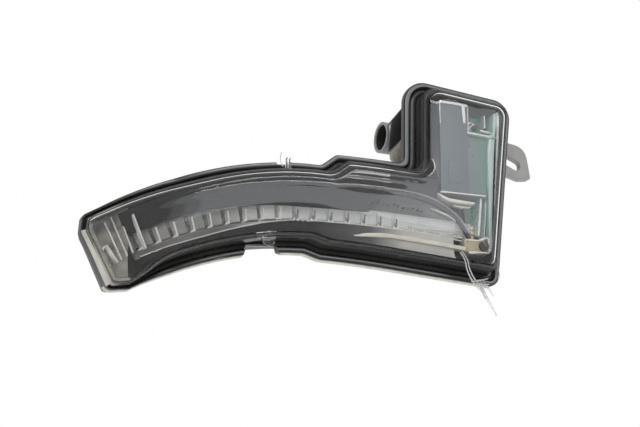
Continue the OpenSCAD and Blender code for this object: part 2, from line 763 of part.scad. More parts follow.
// Outline of the fixing ear, from the rear cover to its pointed lower corner
ear_root_x = cover_x1 - 3;
ear_root_low = [ear_root_x, ear_z - ear_h * 0.09];
ear_root_top = [ear_root_x, ear_z + ear_h * 0.79];
ear_shoulder = [ear_x + ear_h * 0.46, ear_z + ear_h * 0.55];
ear_point = [ear_x + ear_h * 0.62, ear_z - ear_h * 0.43];
ear_belly = [ear_x + ear_h * 0.25, ear_z - ear_h * 0.49];
ear_points = concat(
    [ear_root_low, ear_root_top],
    fillet(ear_root_top, ear_shoulder, ear_point, 8),
    fillet(ear_shoulder, ear_point, ear_belly, 1.6),
    fillet(ear_point, ear_belly, ear_root_low, 5)
);

module slot() {
    translate([ear_x, cover_y - 1, ear_z]) rotate([0, slot_tilt, 0]) {
        for (side = [-1, 1]) translate([side * slot_l / 2, 0, 0])
            rotate([-90, 0, 0]) cylinder(h = ear_t + 2, r = slot_w / 2);
        translate([-slot_l / 2, 0, -slot_w / 2]) cube([slot_l, ear_t + 2, slot_w]);
    }
}

// Tube along X, between x0 and x1 on the connector's axis
module socket_rod(x0, x1, r) {
    translate([x0, socket_y, socket_z]) rotate([0, 90, 0]) cylinder(h = x1 - x0, r = r);
}

box_x1 = cover_x0 + 31;
box_z0 = socket_z - 11;
box_z1 = socket_z + 11;
cover_back_y = cover_y + cover_d;
vent_at = [cover_x0 + 20, cover_z0 + 14];
vent_stem_r = 2;

module rear_cover() {
    flange_y = cover_y + cover_flange_t;
    color([0.46, 0.45, 0.44]) place() difference() {
        union() {
            block(cover_x0, cover_x1, cover_y, flange_y, cover_z0, cover_z1);
            block(cover_x0, box_x1, cover_y, cover_back_y, box_z0, box_z1);
            socket_rod(mouth_x, cover_x0 + 1, socket_r);
            plate(ear_points, cover_y, seat_y);
        }
        block(cover_x0 + cover_wall, box_x1 - cover_wall, cover_y - 1, cover_back_y - cover_wall,
            box_z0 + cover_wall, box_z1 - cover_wall);
        socket_rod(mouth_x - 1, mouth_x + land_l, land_r);
        socket_rod(mouth_x, cover_x0 + cover_wall + 1, throat_r);
        for (p = cover_screw_at) along_y(p[0], p[1], cover_y - 1, flange_y + 1, clear_r);
        along_y(vent_at[0], vent_at[1], cover_y - 1, flange_y + 1, vent_stem_r + gap);
        slot();
    }
}

module cover_gasket() {
    rim = 2.4;
    color([0.10, 0.10, 0.10]) place() difference() {
        block(cover_x0, cover_x1, back_o + seat_gap, cover_y - seat_gap, cover_z0, cover_z1);
        block(cover_x0 + cover_wall + rim, box_x1, back_o - 1, cover_y + 1,
            cover_z0 + 10, cover_z1 - rim);
        for (p = cover_screw_at) along_y(p[0], p[1], back_o - 1, cover_y + 1, clear_r);
    }
}

module cover_screws() {
    color([0.60, 0.60, 0.62]) place() for (p = cover_screw_at) {
        head_y = cover_y + cover_flange_t;
        along_y(p[0], p[1], head_y, head_y + screw_head_h, screw_head_r);
        along_y(p[0], p[1], back_o - cover_boss_l + 1, head_y + eps, screw_r);
    }
}

// Blades run back from the throat of the tube and turn forward to the board
blade_half_w = 0.6;
blade_half_t = 0.4;
blade_x = 41;
blade_step = 2.6;
blade_tip_x = mouth_x + land_l + 0.8;
function blade_z(i) = socket_z + (i - (blades - 1) / 2) * blade_step;

module blade(i, margin = 0) {
    z = blade_z(i);
    w = blade_half_w + margin;
    block(blade_tip_x - margin, blade_x + blade_half_t, socket_y - blade_half_t - margin,
        socket_y + blade_half_t + margin, z - w, z + w);
    block(blade_x - blade_half_t, blade_x + blade_half_t, board_y - 0.6,
        socket_y + blade_half_t, z - w, z + w);
}

module connector_terminals() {
    color([0.78, 0.72, 0.50]) place() for (i = [0:blades - 1]) blade(i);
}

module terminal_carrier() {
    x0 = cover_x0 - 1.5;
    x1 = cover_x0 + cover_wall + gap;
    color([0.16, 0.16, 0.17]) place() difference() {
        union() {
            socket_rod(x0, x1 + 0.5, throat_r - 0.1);
            socket_rod(x1, x1 + 2, throat_r + 0.8);
        }
        for (i = [0:blades - 1]) blade(i, 0.1);
    }
}

module vent_cap() {
    y0 = cover_y + cover_flange_t;
    color([0.18, 0.18, 0.19]) place() union() {
        along_y(vent_at[0], vent_at[1], y0, y0 + 2.6, vent_stem_r + 3);
        along_y(vent_at[0], vent_at[1], cover_y + 0.4, y0 + eps, vent_stem_r);
    }
}

rear_housing();
lens();
lens_seal();
rim_seal();
light_guide();
guide_reflector();
tip_reflector();
upper_bezel();
lower_bezel();
tower_cover();
circuit_board();
indicator_leds();
driver_chip();
protection_diode();
resistors();
capacitors();
board_screws();
guide_holder();
holder_screw();
rear_cover();
cover_gasket();
cover_screws();
terminal_carrier();
connector_terminals();
vent_cap();
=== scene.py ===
import math
import random

import bpy
import bmesh
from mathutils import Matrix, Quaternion, Vector, geometry


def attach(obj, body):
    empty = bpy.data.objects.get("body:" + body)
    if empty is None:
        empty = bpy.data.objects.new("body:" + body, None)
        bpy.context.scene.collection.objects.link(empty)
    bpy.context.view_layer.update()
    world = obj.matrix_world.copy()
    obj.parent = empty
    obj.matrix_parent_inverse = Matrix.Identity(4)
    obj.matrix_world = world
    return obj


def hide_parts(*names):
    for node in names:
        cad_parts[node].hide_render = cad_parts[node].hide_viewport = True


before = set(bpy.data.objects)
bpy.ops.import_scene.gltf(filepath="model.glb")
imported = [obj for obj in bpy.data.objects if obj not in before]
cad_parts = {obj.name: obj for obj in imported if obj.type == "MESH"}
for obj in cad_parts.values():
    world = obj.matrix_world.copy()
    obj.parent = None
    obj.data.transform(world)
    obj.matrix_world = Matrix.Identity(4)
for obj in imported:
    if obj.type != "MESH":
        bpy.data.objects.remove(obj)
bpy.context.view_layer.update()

# Design coordinates are in millimetres, as in the part's source: x = 0 where the arm starts to wrap,
# y = 0 on the lens's flange surface, z = 0 level with the light guide's lower edge.
MM = 0.001
EAR = (82.5, 31.0, 53.9)


def frame_x(x):
    return (x - EAR[0]) * MM


def place(x, y, z):
    return Vector((frame_x(x), (y - EAR[1]) * MM, (z - EAR[2]) * MM))


def design_centre(poly):
    """Centre of a face in design coordinates."""
    return [c + e for c, e in zip(poly.center / MM, EAR)]


# ---- Outline of the rim, as in the part's source ----
ARM_L, TOP_R, LOW_R, CROWN_X = 151.3, 189.0, 165.0, 50.0
TOP_CROWN_Z, LOW_CROWN_Z = 30.7, -17.3
TOP_STRAIGHT_Z, LOW_STRAIGHT_Z, LOW_SLOPE = 36.8, -21.7, 0.04
TOP_STEP_X, LOW_STEP_X, STEP_L, STEP_R = 31.0, 40.0, 8.0, 4.0
TIP_BLUNT, TIP_LOW_Z, TIP_RAKE = 9.0, -38.2, 12.0
TOWER_X, TOWER_W, TOWER_Z, RIGHT_LEAN, TOP_FALL = 6.5, 54.3, 85.1, 11.2, 4.6
WRAP_R = 236.0
LEDGE_W, TIP_SHARE, LEFT_SHARE = 6.0, 0.3, 1.25
TIP_RISE_D, RIM_RISE_D = 13.5, 7.0
LENS_H, SHOULDER_W, LENS_T = 4.5, 6.0, 2.2
WALL_M, INNER_M = 6.2, 8.2
RIM_DROP, GROOVE_O, FLANGE_O, SEAT_O, BACK_O, FLOOR_O = 8.0, 10.4, 12.5, 2.8, 26.0, 24.0
GAP = 0.2
RUN_N, ARC_N, CORNER_N = 3, 12, 10
MAX_EDGE = 2.4


def wrap_y(x, o):
    return o if x >= 0 else WRAP_R - math.sqrt((WRAP_R - o) ** 2 - x * x)


def toward_tip(x, start):
    return clamp01((-x - start * CROWN_X) / (ARM_L - start * CROWN_X - 4))


def mix(a, b, t):
    return a + (b - a) * t


def clamp01(t):
    return min(1.0, max(0.0, t))


def smooth01(t):
    t = clamp01(t)
    return t * t * (3 - 2 * t)


def arc_z(x, r, crown):
    return crown - r + math.sqrt(r * r - (x + CROWN_X) ** 2)


def top_z(x):
    return mix(arc_z(x, TOP_R, TOP_CROWN_Z), TOP_STRAIGHT_Z, clamp01((x + TOP_STEP_X + STEP_L) / STEP_L))


def low_z(x):
    return mix(arc_z(x, LOW_R, LOW_CROWN_Z), LOW_STRAIGHT_Z - LOW_SLOPE * x,
               clamp01((x + LOW_STEP_X + STEP_L) / STEP_L))


def stations(step_x, end_x):
    return ([-step_x * i / RUN_N for i in range(RUN_N)] + [-step_x, -step_x - STEP_L]
            + [mix(-step_x - STEP_L, end_x, i / ARC_N) for i in range(1, ARC_N + 1)])


TOP_X = stations(TOP_STEP_X, -ARM_L + 6)
LOW_X = stations(LOW_STEP_X, -ARM_L + TIP_RAKE + 10)
STATION_N = len(TOP_X)
TIP_TOP_Z = top_z(-ARM_L + 1)
FOOT_Z = LOW_STRAIGHT_Z - LOW_SLOPE * (TOWER_X + TOWER_W)
RIGHT_X = TOWER_X + TOWER_W


def build_outline():
    step = lambda i: STEP_R if i in (RUN_N, RUN_N + 1) else 0
    share = lambda i: mix(1, TIP_SHARE, clamp01((i - STATION_N + 3) / 2))
    top_share = lambda i: mix(1, 1.6 * TIP_SHARE, clamp01((i - STATION_N + 6) / 5))
    pts = [(TOP_X[i], top_z(TOP_X[i]), step(i), top_share(i)) for i in range(STATION_N)]
    pts += [(-ARM_L, TIP_TOP_Z, 3, TIP_SHARE), (-ARM_L - 0.6, TIP_TOP_Z - TIP_BLUNT, 8, TIP_SHARE),
            (-ARM_L + TIP_RAKE, TIP_LOW_Z, 4, TIP_SHARE)]
    pts += [(LOW_X[i], low_z(LOW_X[i]), step(i), share(i)) for i in range(STATION_N - 1, -1, -1)]
    pts += [(RIGHT_X, FOOT_Z, 6, 1), (RIGHT_X + RIGHT_LEAN, TOWER_Z - TOP_FALL, 10, 1),
            (TOWER_X + 1, TOWER_Z, 13, LEFT_SHARE), (TOWER_X, TOP_STRAIGHT_Z, 4, 1)]
    return pts


OUTLINE = build_outline()
N_OUT = len(OUTLINE)


def v2(p):
    return Vector((p[0], p[1]))


def cross2(a, b):
    return a[0] * b[1] - a[1] * b[0]


def edge_normal(a, b):
    d = v2(b) - v2(a)
    return Vector((-d[1], d[0])) / d.length


def edge_inset(m, share):
    return min(m, LEDGE_W) * share + max(0.0, m - LEDGE_W) * mix(0.5, 1, share)


def inset_corner(i, m):
    before, here, after = OUTLINE[i - 1], OUTLINE[i], OUTLINE[(i + 1) % N_OUT]
    n1, n2 = edge_normal(before, here), edge_normal(here, after)
    d1, d2 = edge_inset(m, before[3]), edge_inset(m, here[3])
    c = cross2(n1, n2)
    if abs(c) < 0.1:
        return v2(here) + (n1 + n2) * (d1 + d2) / 2 / (1 + n1.dot(n2))
    return v2(here) + Vector((d1 * n2[1] - d2 * n1[1], n1[0] * d2 - n2[0] * d1)) / c


def bend(a, b, c):
    """Directions from corner b to its neighbours, and half the angle between them."""
    u, v = (a - b).normalized(), (c - b).normalized()
    return u, v, math.acos(max(-1, min(1, u.dot(v)))) / 2


def corner_arc(b, u, v, half, t, n):
    """Arc that rounds corner b, from t along u to t along v."""
    arc_r = t * math.tan(half)
    centre = b + (u + v).normalized() * arc_r / math.sin(half)
    start, end = b + u * t - centre, b + v * t - centre
    a0 = math.atan2(start[1], start[0])
    turn = (math.atan2(end[1], end[0]) - a0 + 3 * math.pi) % (2 * math.pi) - math.pi
    return [centre + arc_r * Vector((math.cos(a0 + turn * i / n), math.sin(a0 + turn * i / n)))
            for i in range(n + 1)]


def fillet(a, b, c, r, n, a_part, c_part):
    u, v, half = bend(a, b, c)
    t = min(max(1, r / math.tan(half)), (a - b).length * a_part, (c - b).length * c_part)
    return corner_arc(b, u, v, half, t, n)


KNEE_GAP = 2.4


def past_knee(pts):
    i = STATION_N
    along = (pts[i + 2] - pts[i + 1]).normalized()
    u = pts[i] - pts[i - 1]
    corner = pts[i - 1] + u * cross2(pts[i + 1] - pts[i - 1], along) / cross2(u, along)
    out = list(pts)
    out[i] = corner
    out[i + 1] = corner + along * KNEE_GAP + Vector((along[1], -along[0])) * 0.03
    return out


def control(m):
    moved = [inset_corner(i, m) for i in range(N_OUT)]
    if moved[STATION_N][1] > moved[STATION_N + 1][1] + KNEE_GAP:
        return moved
    return past_knee(moved)


def corner_points(m):
    """The loop's corners and stations as short lists, one list for each control point."""
    pts = control(m)
    out = []
    for i in range(N_OUT):
        r = OUTLINE[i][2]
        a, b, c = pts[i - 1], pts[i], pts[(i + 1) % N_OUT]
        if r == 0:
            out.append([b])
            continue
        d = edge_inset(m, (OUTLINE[i - 1][3] + OUTLINE[i][3]) / 2)
        convex = cross2(b - a, c - b) > 0
        parts = [0.9 if OUTLINE[k % N_OUT][2] == 0 else 0.45 for k in (i - 1, i + 1)]
        out.append(fillet(a, b, c, max(r / 2, r - d) if convex else r + 0.6 * d, CORNER_N, *parts))
    return out


def on_arc(i):
    return OUTLINE[i % N_OUT][2] == 0


BASE = corner_points(0)
SPLITS = [max(1, math.ceil((BASE[(i + 1) % N_OUT][0] - BASE[i][-1]).length / MAX_EDGE)) for i in range(N_OUT)]


def loop(m):
    """Closed outline at inset m, with as many points at every inset."""
    groups = corner_points(m)
    out = []
    for i in range(N_OUT):
        out += groups[i]
        p1, p2 = groups[i][-1], groups[(i + 1) % N_OUT][0]
        p0, p3 = groups[i - 1][-1], groups[(i + 2) % N_OUT][0]
        curved = on_arc(i) and on_arc(i + 1)
        t1 = (p2 - p0) * 0.5 if curved and on_arc(i - 1) else p2 - p1
        t2 = (p3 - p1) * 0.5 if curved and on_arc(i + 2) else p2 - p1
        for k in range(1, SPLITS[i]):
            t = k / SPLITS[i]
            if curved:
                h = (2 * t ** 3 - 3 * t * t + 1, t ** 3 - 2 * t * t + t, -2 * t ** 3 + 3 * t * t, t ** 3 - t * t)
                out.append(p1 * h[0] + t1 * h[1] + p2 * h[2] + t2 * h[3])
            else:
                out.append(p1.lerp(p2, t))
    return out


LOOP_N = len(loop(0))


# ---- Mesh helpers ----
SMOOTH_ANGLE = 35
MERGE_DIST = 2e-6


def add_to_scene(name, data):
    obj = bpy.data.objects.new(name, data)
    bpy.context.scene.collection.objects.link(obj)
    return obj


def new_object(name, verts, faces, smooth_angle=SMOOTH_ANGLE):
    mesh = bpy.data.meshes.new(name)
    mesh.from_pydata([tuple(v) for v in verts], [], faces)
    mesh.validate()
    obj = add_to_scene(name, mesh)
    finish_mesh(obj, smooth_angle)
    return obj


def finish_mesh(obj, smooth_angle=SMOOTH_ANGLE):
    bm = bmesh.new()
    bm.from_mesh(obj.data)
    bmesh.ops.remove_doubles(bm, verts=bm.verts, dist=MERGE_DIST)
    bmesh.ops.recalc_face_normals(bm, faces=bm.faces)
    bm.to_mesh(obj.data)
    bm.free()
    for poly in obj.data.polygons:
        poly.use_smooth = True
    obj.data.set_sharp_from_angle(angle=math.radians(smooth_angle))


PROFILE_SHARE = 0.48  # most of a side that one rounded corner of a profile may take


def profile_fillet(points, radii, n=3):
    """Rounds the inner corners of an open profile of inset and depth pairs."""
    out = [points[0]]
    for i in range(1, len(points) - 1):
        if not radii[i]:
            out.append(points[i])
            continue
        a, b, c = (Vector(p) for p in points[i - 1:i + 2])
        u, v, half = bend(a, b, c)
        t = min(radii[i] / math.tan(half), (a - b).length * PROFILE_SHARE, (c - b).length * PROFILE_SHARE)
        out += [tuple(p) for p in corner_arc(b, u, v, half, t, n)]
    out.append(points[-1])
    return out


def inside(p, poly):
    hit = False
    j = len(poly) - 1
    for i in range(len(poly)):
        a, b = poly[i], poly[j]
        if (a[1] > p[1]) != (b[1] > p[1]) and p[0] < (b[0] - a[0]) * (p[1] - a[1]) / (b[1] - a[1]) + a[0]:
            hit = not hit
        j = i
    return hit


ROW_OFFSET, ROW_RISE, ROW_MARGIN, MERGE_2D = 0.5, 0.87, 0.4, 1e-7


def cap_grid(ring, step, margin, rows_in=(), taken=None):
    """Triangles that fill a closed 2D ring: an even grid of points, and rows_in where that is taken."""
    xs, zs = [p[0] for p in ring], [p[1] for p in ring]
    near = [Vector(p) for p in ring]

    def clear_of_ring(p, gap):
        return inside(p, near) and min((p - q).length_squared for q in near) > gap * gap
    cols, rows = (int((max(v) - min(v)) / step) + 2 for v in (xs, zs))
    grid = [Vector((min(xs) + (i + ROW_OFFSET * (j % 2)) * step, min(zs) + j * step * ROW_RISE))
            for i in range(cols) for j in range(rows)]
    inner = [p for p in grid if not (taken and taken(p)) and clear_of_ring(p, margin)]
    inner += [p for p in rows_in if clear_of_ring(p, ROW_MARGIN)]
    out = geometry.delaunay_2d_cdt(near + inner, [], [list(range(len(near)))], 1, MERGE_2D)
    return [Vector(v) for v in out[0]], [list(f) for f in out[2]]


def laid(p, o):
    if o > FLANGE_O + 0.01:
        o -= TIP_RISE_D * toward_tip(p[0], 2)
    elif o > RIM_DROP - 2:
        o -= RIM_RISE_D * toward_tip(p[0], 2.2)
    return place(p[0], wrap_y(p[0], o), p[1])


def loft(section):
    """Vertices and faces of the bands between the loops of a section of inset and depth pairs."""
    verts, faces = [], []
    for m, o in section:
        verts += [laid(p, o) for p in loop(m)]
    for k in range(len(section) - 1):
        for i in range(LOOP_N):
            j = (i + 1) % LOOP_N
            faces.append([k * LOOP_N + i, k * LOOP_N + j, (k + 1) * LOOP_N + j, (k + 1) * LOOP_N + i])
    return verts, faces


def add_cap(verts, faces, m, depth_at, step=3.0, margin=1.2, rows_in=(), taken=None):
    """Closes the loop at inset m by a gridded cap whose depth is a function of x and z."""
    pts, tris = cap_grid([tuple(p) for p in loop(m)], step, margin, rows_in, taken)
    base = len(verts)
    verts += [laid(p, depth_at(p[0], p[1])) for p in pts]
    faces += [[base + i for i in t] for t in tris]


def join_boolean(obj, other, operation):
    mod = obj.modifiers.new("cut", "BOOLEAN")
    mod.operation = operation
    mod.object = other
    mod.solver = "EXACT"
    bpy.context.view_layer.update()
    deps = bpy.context.evaluated_depsgraph_get()
    mesh = bpy.data.meshes.new_from_object(obj.evaluated_get(deps))
    obj.modifiers.clear()
    old = obj.data
    obj.data = mesh
    bpy.data.meshes.remove(old)
    bpy.data.objects.remove(other)


# ---- Shapes in design coordinates ----
GUIDE_Z = 3.7
GUIDE_R = GUIDE_Z - LOW_CROWN_Z + LOW_R


def arm(s, h):
    """Point at height h above the guide's middle line, s along it, in the arc's own frame."""
    if s >= -CROWN_X:
        return s, GUIDE_Z + h
    phi = (-CROWN_X - s) / GUIDE_R
    return -CROWN_X - (GUIDE_R + h) * math.sin(phi), GUIDE_Z - GUIDE_R + (GUIDE_R + h) * math.cos(phi)


def arm_place(s, h, o):
    x, z = arm(s, h)
    return place(x, wrap_y(x, o), z)


def edge_tilt(x, r):
    return 0 if x > -CROWN_X else math.asin((-x - CROWN_X) / r)


def beside_step(x, part):
    return x - part * INNER_M if x > -CROWN_X else x


def inner_top(x):
    return top_z(beside_step(x, 0.55)) - INNER_M / math.cos(edge_tilt(x, TOP_R)) - GAP


def inner_low(x):
    return low_z(beside_step(x, 0.7)) + INNER_M / math.cos(edge_tilt(x, LOW_R)) + GAP


def steps(a, b, n):
    return [mix(a, b, i / n) for i in range(n + 1)]


def curve_points(points, n=6):
    """Smooth curve through a few control points of any length."""
    pts = [Vector(p) for p in points]
    out = []
    for i in range(len(pts) - 1):
        p0, p1, p2, p3 = pts[max(i - 1, 0)], pts[i], pts[i + 1], pts[min(i + 2, len(pts) - 1)]
        for k in range(n):
            t = k / n
            out.append(0.5 * (2 * p1 + (p2 - p0) * t + (2 * p0 - 5 * p1 + 4 * p2 - p3) * t * t
                              + (3 * p1 - p0 - 3 * p2 + p3) * t ** 3))
    return out + [pts[-1]]


def circle(n):
    """Angles of n points round a full circle."""
    return [2 * math.pi * k / n for k in range(n)]


def at(value, i):
    """One number, or the i-th of a list of them."""
    return value[i] if isinstance(value, (list, tuple)) else value


def direction(pts, i):
    return (pts[min(i + 1, len(pts) - 1)] - pts[max(i - 1, 0)]).normalized()


class Shape:
    """Collects bands and plates of one piece before they become a mesh."""

    def __init__(self):
        self.verts, self.faces = [], []

    def sweep(self, rings, closed=False):
        base, n = len(self.verts), len(rings[0])
        for ring in rings:
            self.verts += list(ring)
        last = len(rings) if closed else len(rings) - 1
        for k in range(last):
            k2 = (k + 1) % len(rings)
            for i in range(n):
                j = (i + 1) % n
                self.faces.append([base + k * n + i, base + k * n + j, base + k2 * n + j, base + k2 * n + i])
        if not closed:
            self.faces.append([base + i for i in range(n - 1, -1, -1)])
            self.faces.append([base + (len(rings) - 1) * n + i for i in range(n)])

    def plate(self, points, y0, y1):
        self.sweep([[place(x, y, z) for x, z in points] for y in (y0, y1)])

    def block(self, x0, x1, y0, y1, z0, z1):
        self.plate([(x0, z0), (x1, z0), (x1, z1), (x0, z1)], y0, y1)

    def stroke(self, points, width, y0, y1):
        """Bar of constant or tapering width along a line of x and z pairs."""
        pts = [Vector(p[:2]) for p in points]
        left, right = [], []
        for i, p in enumerate(pts):
            d = direction(pts, i)
            w = at(width, i)
            off = Vector((-d[1], d[0])) * w / 2
            left.append(p + off)
            right.append(p - off)
        self.sweep([[place(a[0], wrap_y(a[0], y0), a[1]), place(b[0], wrap_y(b[0], y0), b[1]),
                     place(b[0], wrap_y(b[0], y1), b[1]), place(a[0], wrap_y(a[0], y1), a[1])]
                    for a, b in zip(left, right)])

    def arm_bar(self, spans, section_at):
        self.sweep([[arm_place(s, h, o) for h, o in section_at(s)] for s in spans])

    def tube(self, path, radius, n=10):
        """Round rod along points in design coordinates; radius may be one number for each point."""
        pts = [Vector(p) for p in path]
        rings = []
        side = Vector((0.31, 0.77, 0.55))
        for i, p in enumerate(pts):
            d = direction(pts, i)
            u = (side - d * side.dot(d)).normalized()
            v = d.cross(u)
            r = at(radius, i)
            rings.append([place(*(p + (u * math.cos(a) + v * math.sin(a)) * r)) for a in circle(n)])
        self.sweep(rings)

    def turned(self, x, z, profile, n=28):
        """Body of revolution about Y through x, z from radius and depth pairs."""
        self.sweep([[place(x + r * math.cos(a), y, z + r * math.sin(a)) for a in circle(n)] for r, y in profile])

    def make(self, name, bevel=0.0, segments=2, angle=SMOOTH_ANGLE):
        obj = new_object(name, self.verts, self.faces, angle)
        if bevel:
            bevel_edges(obj, bevel, segments, angle)
        return obj


def bevel_edges(obj, width, segments=2, angle=SMOOTH_ANGLE, least=30):
    bm = bmesh.new()
    bm.from_mesh(obj.data)
    edges = [e for e in bm.edges if len(e.link_faces) == 2 and e.calc_face_angle(0) > math.radians(least)]
    bmesh.ops.bevel(bm, geom=edges, offset=width * MM, offset_type="OFFSET", segments=segments,
                    profile=0.5, affect="EDGES", clamp_overlap=True)
    bm.to_mesh(obj.data)
    bm.free()
    finish_mesh(obj, angle)


# ---- Shader nodes ----
PATCH_LOW, PATCH_HIGH = 0.3, 0.7  # share of the noise that a ramp or a roughness range spans
GRAIN_DEPTH, FLOW_DEPTH = 0.0001, 0.001
PLASTIC_IOR = 1.49
MIX_COLOR_A, MIX_COLOR_B, MIX_COLOR_OUT = 6, 7, 2


def put(tree, socket, value):
    """Sets a socket, or links it where the value is another node's output."""
    if isinstance(value, bpy.types.NodeSocket):
        tree.links.new(value, socket)
    else:
        socket.default_value = value


def add_node(tree, kind, **sockets):
    """Adds a shader node; each named input takes a value or the output that feeds it."""
    node = tree.nodes.new("ShaderNode" + kind)
    for key, value in sockets.items():
        put(tree, node.inputs[key.replace("_", " ")], value)
    return node


def feed(mat, key, value):
    """Sets or links one input of the material's shader."""
    put(mat.node_tree, mat.node_tree.nodes["Principled BSDF"].inputs[key.replace("_", " ")], value)


def new_material(name, color, rough, **inputs):
    mat = bpy.data.materials.new(name)
    mat.use_nodes = True
    for key, value in dict(Base_Color=(*color, 1), Roughness=rough, **inputs).items():
        feed(mat, key, value)
    return mat


def object_coords(tree):
    return add_node(tree, "TexCoord").outputs["Object"]


def object_x(tree):
    return add_node(tree, "SeparateXYZ", Vector=object_coords(tree)).outputs["X"]


def object_noise(tree, scale, stretch=(1, 1, 1), detail=4.0):
    where = add_node(tree, "Mapping", Vector=object_coords(tree), Scale=stretch)
    return add_node(tree, "TexNoise", Vector=where.outputs["Vector"], Scale=scale, Detail=detail).outputs["Fac"]


def map_range(tree, source, from_min, from_max, to_min=0.0, to_max=1.0):
    return add_node(tree, "MapRange", Value=source, From_Min=from_min, From_Max=from_max,
                    To_Min=to_min, To_Max=to_max).outputs["Result"]


def combine(tree, operation, first, second):
    node = add_node(tree, "Math")
    node.operation = operation
    for socket, source in zip(node.inputs, (first, second)):
        tree.links.new(source, socket)
    return node.outputs["Value"]


def mix_shaders(tree, factor, first, second):
    node = add_node(tree, "MixShader", Fac=factor)
    for socket, source in zip(node.inputs[1:], (first, second)):
        tree.links.new(source, socket)
    return node.outputs["Shader"]


def blend_colors(tree, factor, first, second, mode="MIX"):
    node = add_node(tree, "Mix")
    node.data_type, node.blend_type = "RGBA", mode
    for key, value in (("Factor", factor), (MIX_COLOR_A, first), (MIX_COLOR_B, second)):
        put(tree, node.inputs[key], value)
    return node.outputs[MIX_COLOR_OUT]


def ramp(tree, source, stops):
    node = add_node(tree, "ValToRGB", Fac=source)
    while len(node.color_ramp.elements) < len(stops):
        node.color_ramp.elements.new(0.5)
    for element, (at, color) in zip(node.color_ramp.elements, stops):
        element.position = at
        element.color = (*color, 1)
    return node.outputs["Color"]


def patchy(tree, source, low, high):
    """Colour that wanders between two tones with the noise."""
    return ramp(tree, source, [(PATCH_LOW, low), (PATCH_HIGH, high)])


def along_x(tree, stops):
    """Colour that changes along the lamp; stops are design x and colour pairs."""
    x0, x1 = stops[0][0], stops[-1][0]
    share = map_range(tree, object_x(tree), frame_x(x0), frame_x(x1))
    return ramp(tree, share, [((x - x0) / (x1 - x0), color) for x, color in stops])


def grey(level):
    return (level,) * 3


def tint(color, k):
    return tuple(min(1.0, c * k) for c in color)


def add_bump(mat, source, strength, depth=GRAIN_DEPTH):
    bump = add_node(mat.node_tree, "Bump", Height=source, Strength=strength, Distance=depth)
    feed(mat, "Normal", bump.outputs["Normal"])


def add_roughness(mat, source, low, high):
    feed(mat, "Roughness", map_range(mat.node_tree, source, PATCH_LOW, PATCH_HIGH, low, high))


# ---- Materials ----
def moulded(name, color, rough, vary=0.15, scale=45, stretch=(1, 1, 1), grain=0.08, second=None, graded=None,
            **inputs):
    """Moulded plastic, paint or metal with patchy colour, uneven gloss and a fine grain."""
    mat = new_material(name, color, rough, **inputs)
    tree = mat.node_tree
    patch = object_noise(tree, scale, stretch)
    if graded:
        base = blend_colors(tree, 1.0, along_x(tree, graded), patchy(tree, patch, grey(1 - vary), grey(1.0)),
                            "MULTIPLY")
    else:
        base = patchy(tree, patch, tint(color, 1 - vary), second or tint(color, 1 + vary))
    feed(mat, "Base_Color", base)
    fine = object_noise(tree, 900, stretch, 2.0)
    add_roughness(mat, fine, max(0.03, rough - 0.06), rough + 0.08)
    add_bump(mat, fine, grain)
    return mat


def glass_material(name, color, rough, flow, flow_scale, stretch, shadow):
    """Clear plastic with flow marks, which lets the light through to what lies behind it."""
    mat = new_material(name, color, rough, Transmission_Weight=1.0, IOR=PLASTIC_IOR)
    tree = mat.node_tree
    add_bump(mat, object_noise(tree, flow_scale, stretch, 1.5), flow, FLOW_DEPTH)
    clear = add_node(tree, "BsdfTransparent", Color=(*grey(shadow), 1)).outputs["BSDF"]
    in_shadow = add_node(tree, "LightPath").outputs["Is Shadow Ray"]
    surface = mix_shaders(tree, in_shadow, tree.nodes["Principled BSDF"].outputs["BSDF"], clear)
    put(tree, tree.nodes["Material Output"].inputs["Surface"], surface)
    return mat


def board_material():
    """Solder mask with copper tracks under it."""
    base, track = (0.02, 0.17, 0.12), (0.05, 0.27, 0.19)
    mat = new_material("board_green", base, 0.3)
    tree = mat.node_tree
    upright = add_node(tree, "Mapping", Vector=object_coords(tree), Rotation=(math.radians(90), 0, 0))
    brick = add_node(tree, "TexBrick", Vector=upright.outputs["Vector"], Scale=90, Mortar_Size=0.06,
                     Brick_Width=0.55, Row_Height=0.22, Color1=(*base, 1), Color2=(*tint(base, 0.85), 1),
                     Mortar=(*track, 1))
    feed(mat, "Base_Color", brick.outputs["Color"])
    add_roughness(mat, object_noise(tree, 500), 0.22, 0.4)
    add_bump(mat, brick.outputs["Fac"], 0.15)
    return mat


def edge_paler(name, color, edge_tone, rough, **inputs):
    """Black moulded plastic that is a little paler along its sharp edges."""
    mat = new_material(name, color, rough, **inputs)
    tree = mat.node_tree
    fine = object_noise(tree, 260)
    edge = map_range(tree, add_node(tree, "NewGeometry").outputs["Pointiness"], 0.53, 0.64)
    base = patchy(tree, object_noise(tree, 30), tint(color, 0.8), tint(color, 1.3))
    feed(mat, "Base_Color", blend_colors(tree, combine(tree, "MULTIPLY", edge, fine), base, (*edge_tone, 1)))
    add_roughness(mat, fine, rough - 0.04, rough + 0.07)
    add_bump(mat, object_noise(tree, 1400, (1, 1, 1), 2.0), 0.05)
    return mat


def dress(piece, mat):
    piece.data.materials.clear()
    piece.data.materials.append(mat)
    return piece


def piece_of(obj, mat, slot, *replaced):
    """Dresses a new piece, lets it ride on the lamp and hides the nodes it replaces. Its slot is not used."""
    dress(obj, mat)
    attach(obj, "root")
    if replaced:
        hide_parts(*replaced)
    return obj


black = edge_paler("black_plastic", (0.044, 0.0435, 0.043), (0.24, 0.235, 0.22), 0.16, IOR=1.8)
rubber = moulded("black_rubber", (0.04, 0.039, 0.036), 0.3, 0.3, 60)
# Cavity black, darker than the outer black: the darker tone is painted shade in the housing's hollow
cavity_black_painted_shade = moulded("cavity_black_painted_shade", grey(0.014), 0.5, 0.3, 40, Specular_IOR_Level=0.15)
# Dark matt black for the connector tube's lining and end disc: painted shade
tube_painted_shade = moulded("painted_shade_black", (0.035, 0.035, 0.034), 0.6, 0.3, 60, Specular_IOR_Level=0.2)
trim = moulded("dark_trim", (0.02, 0.019, 0.019), 0.35, 0.4, 30, (1, 1, 3))


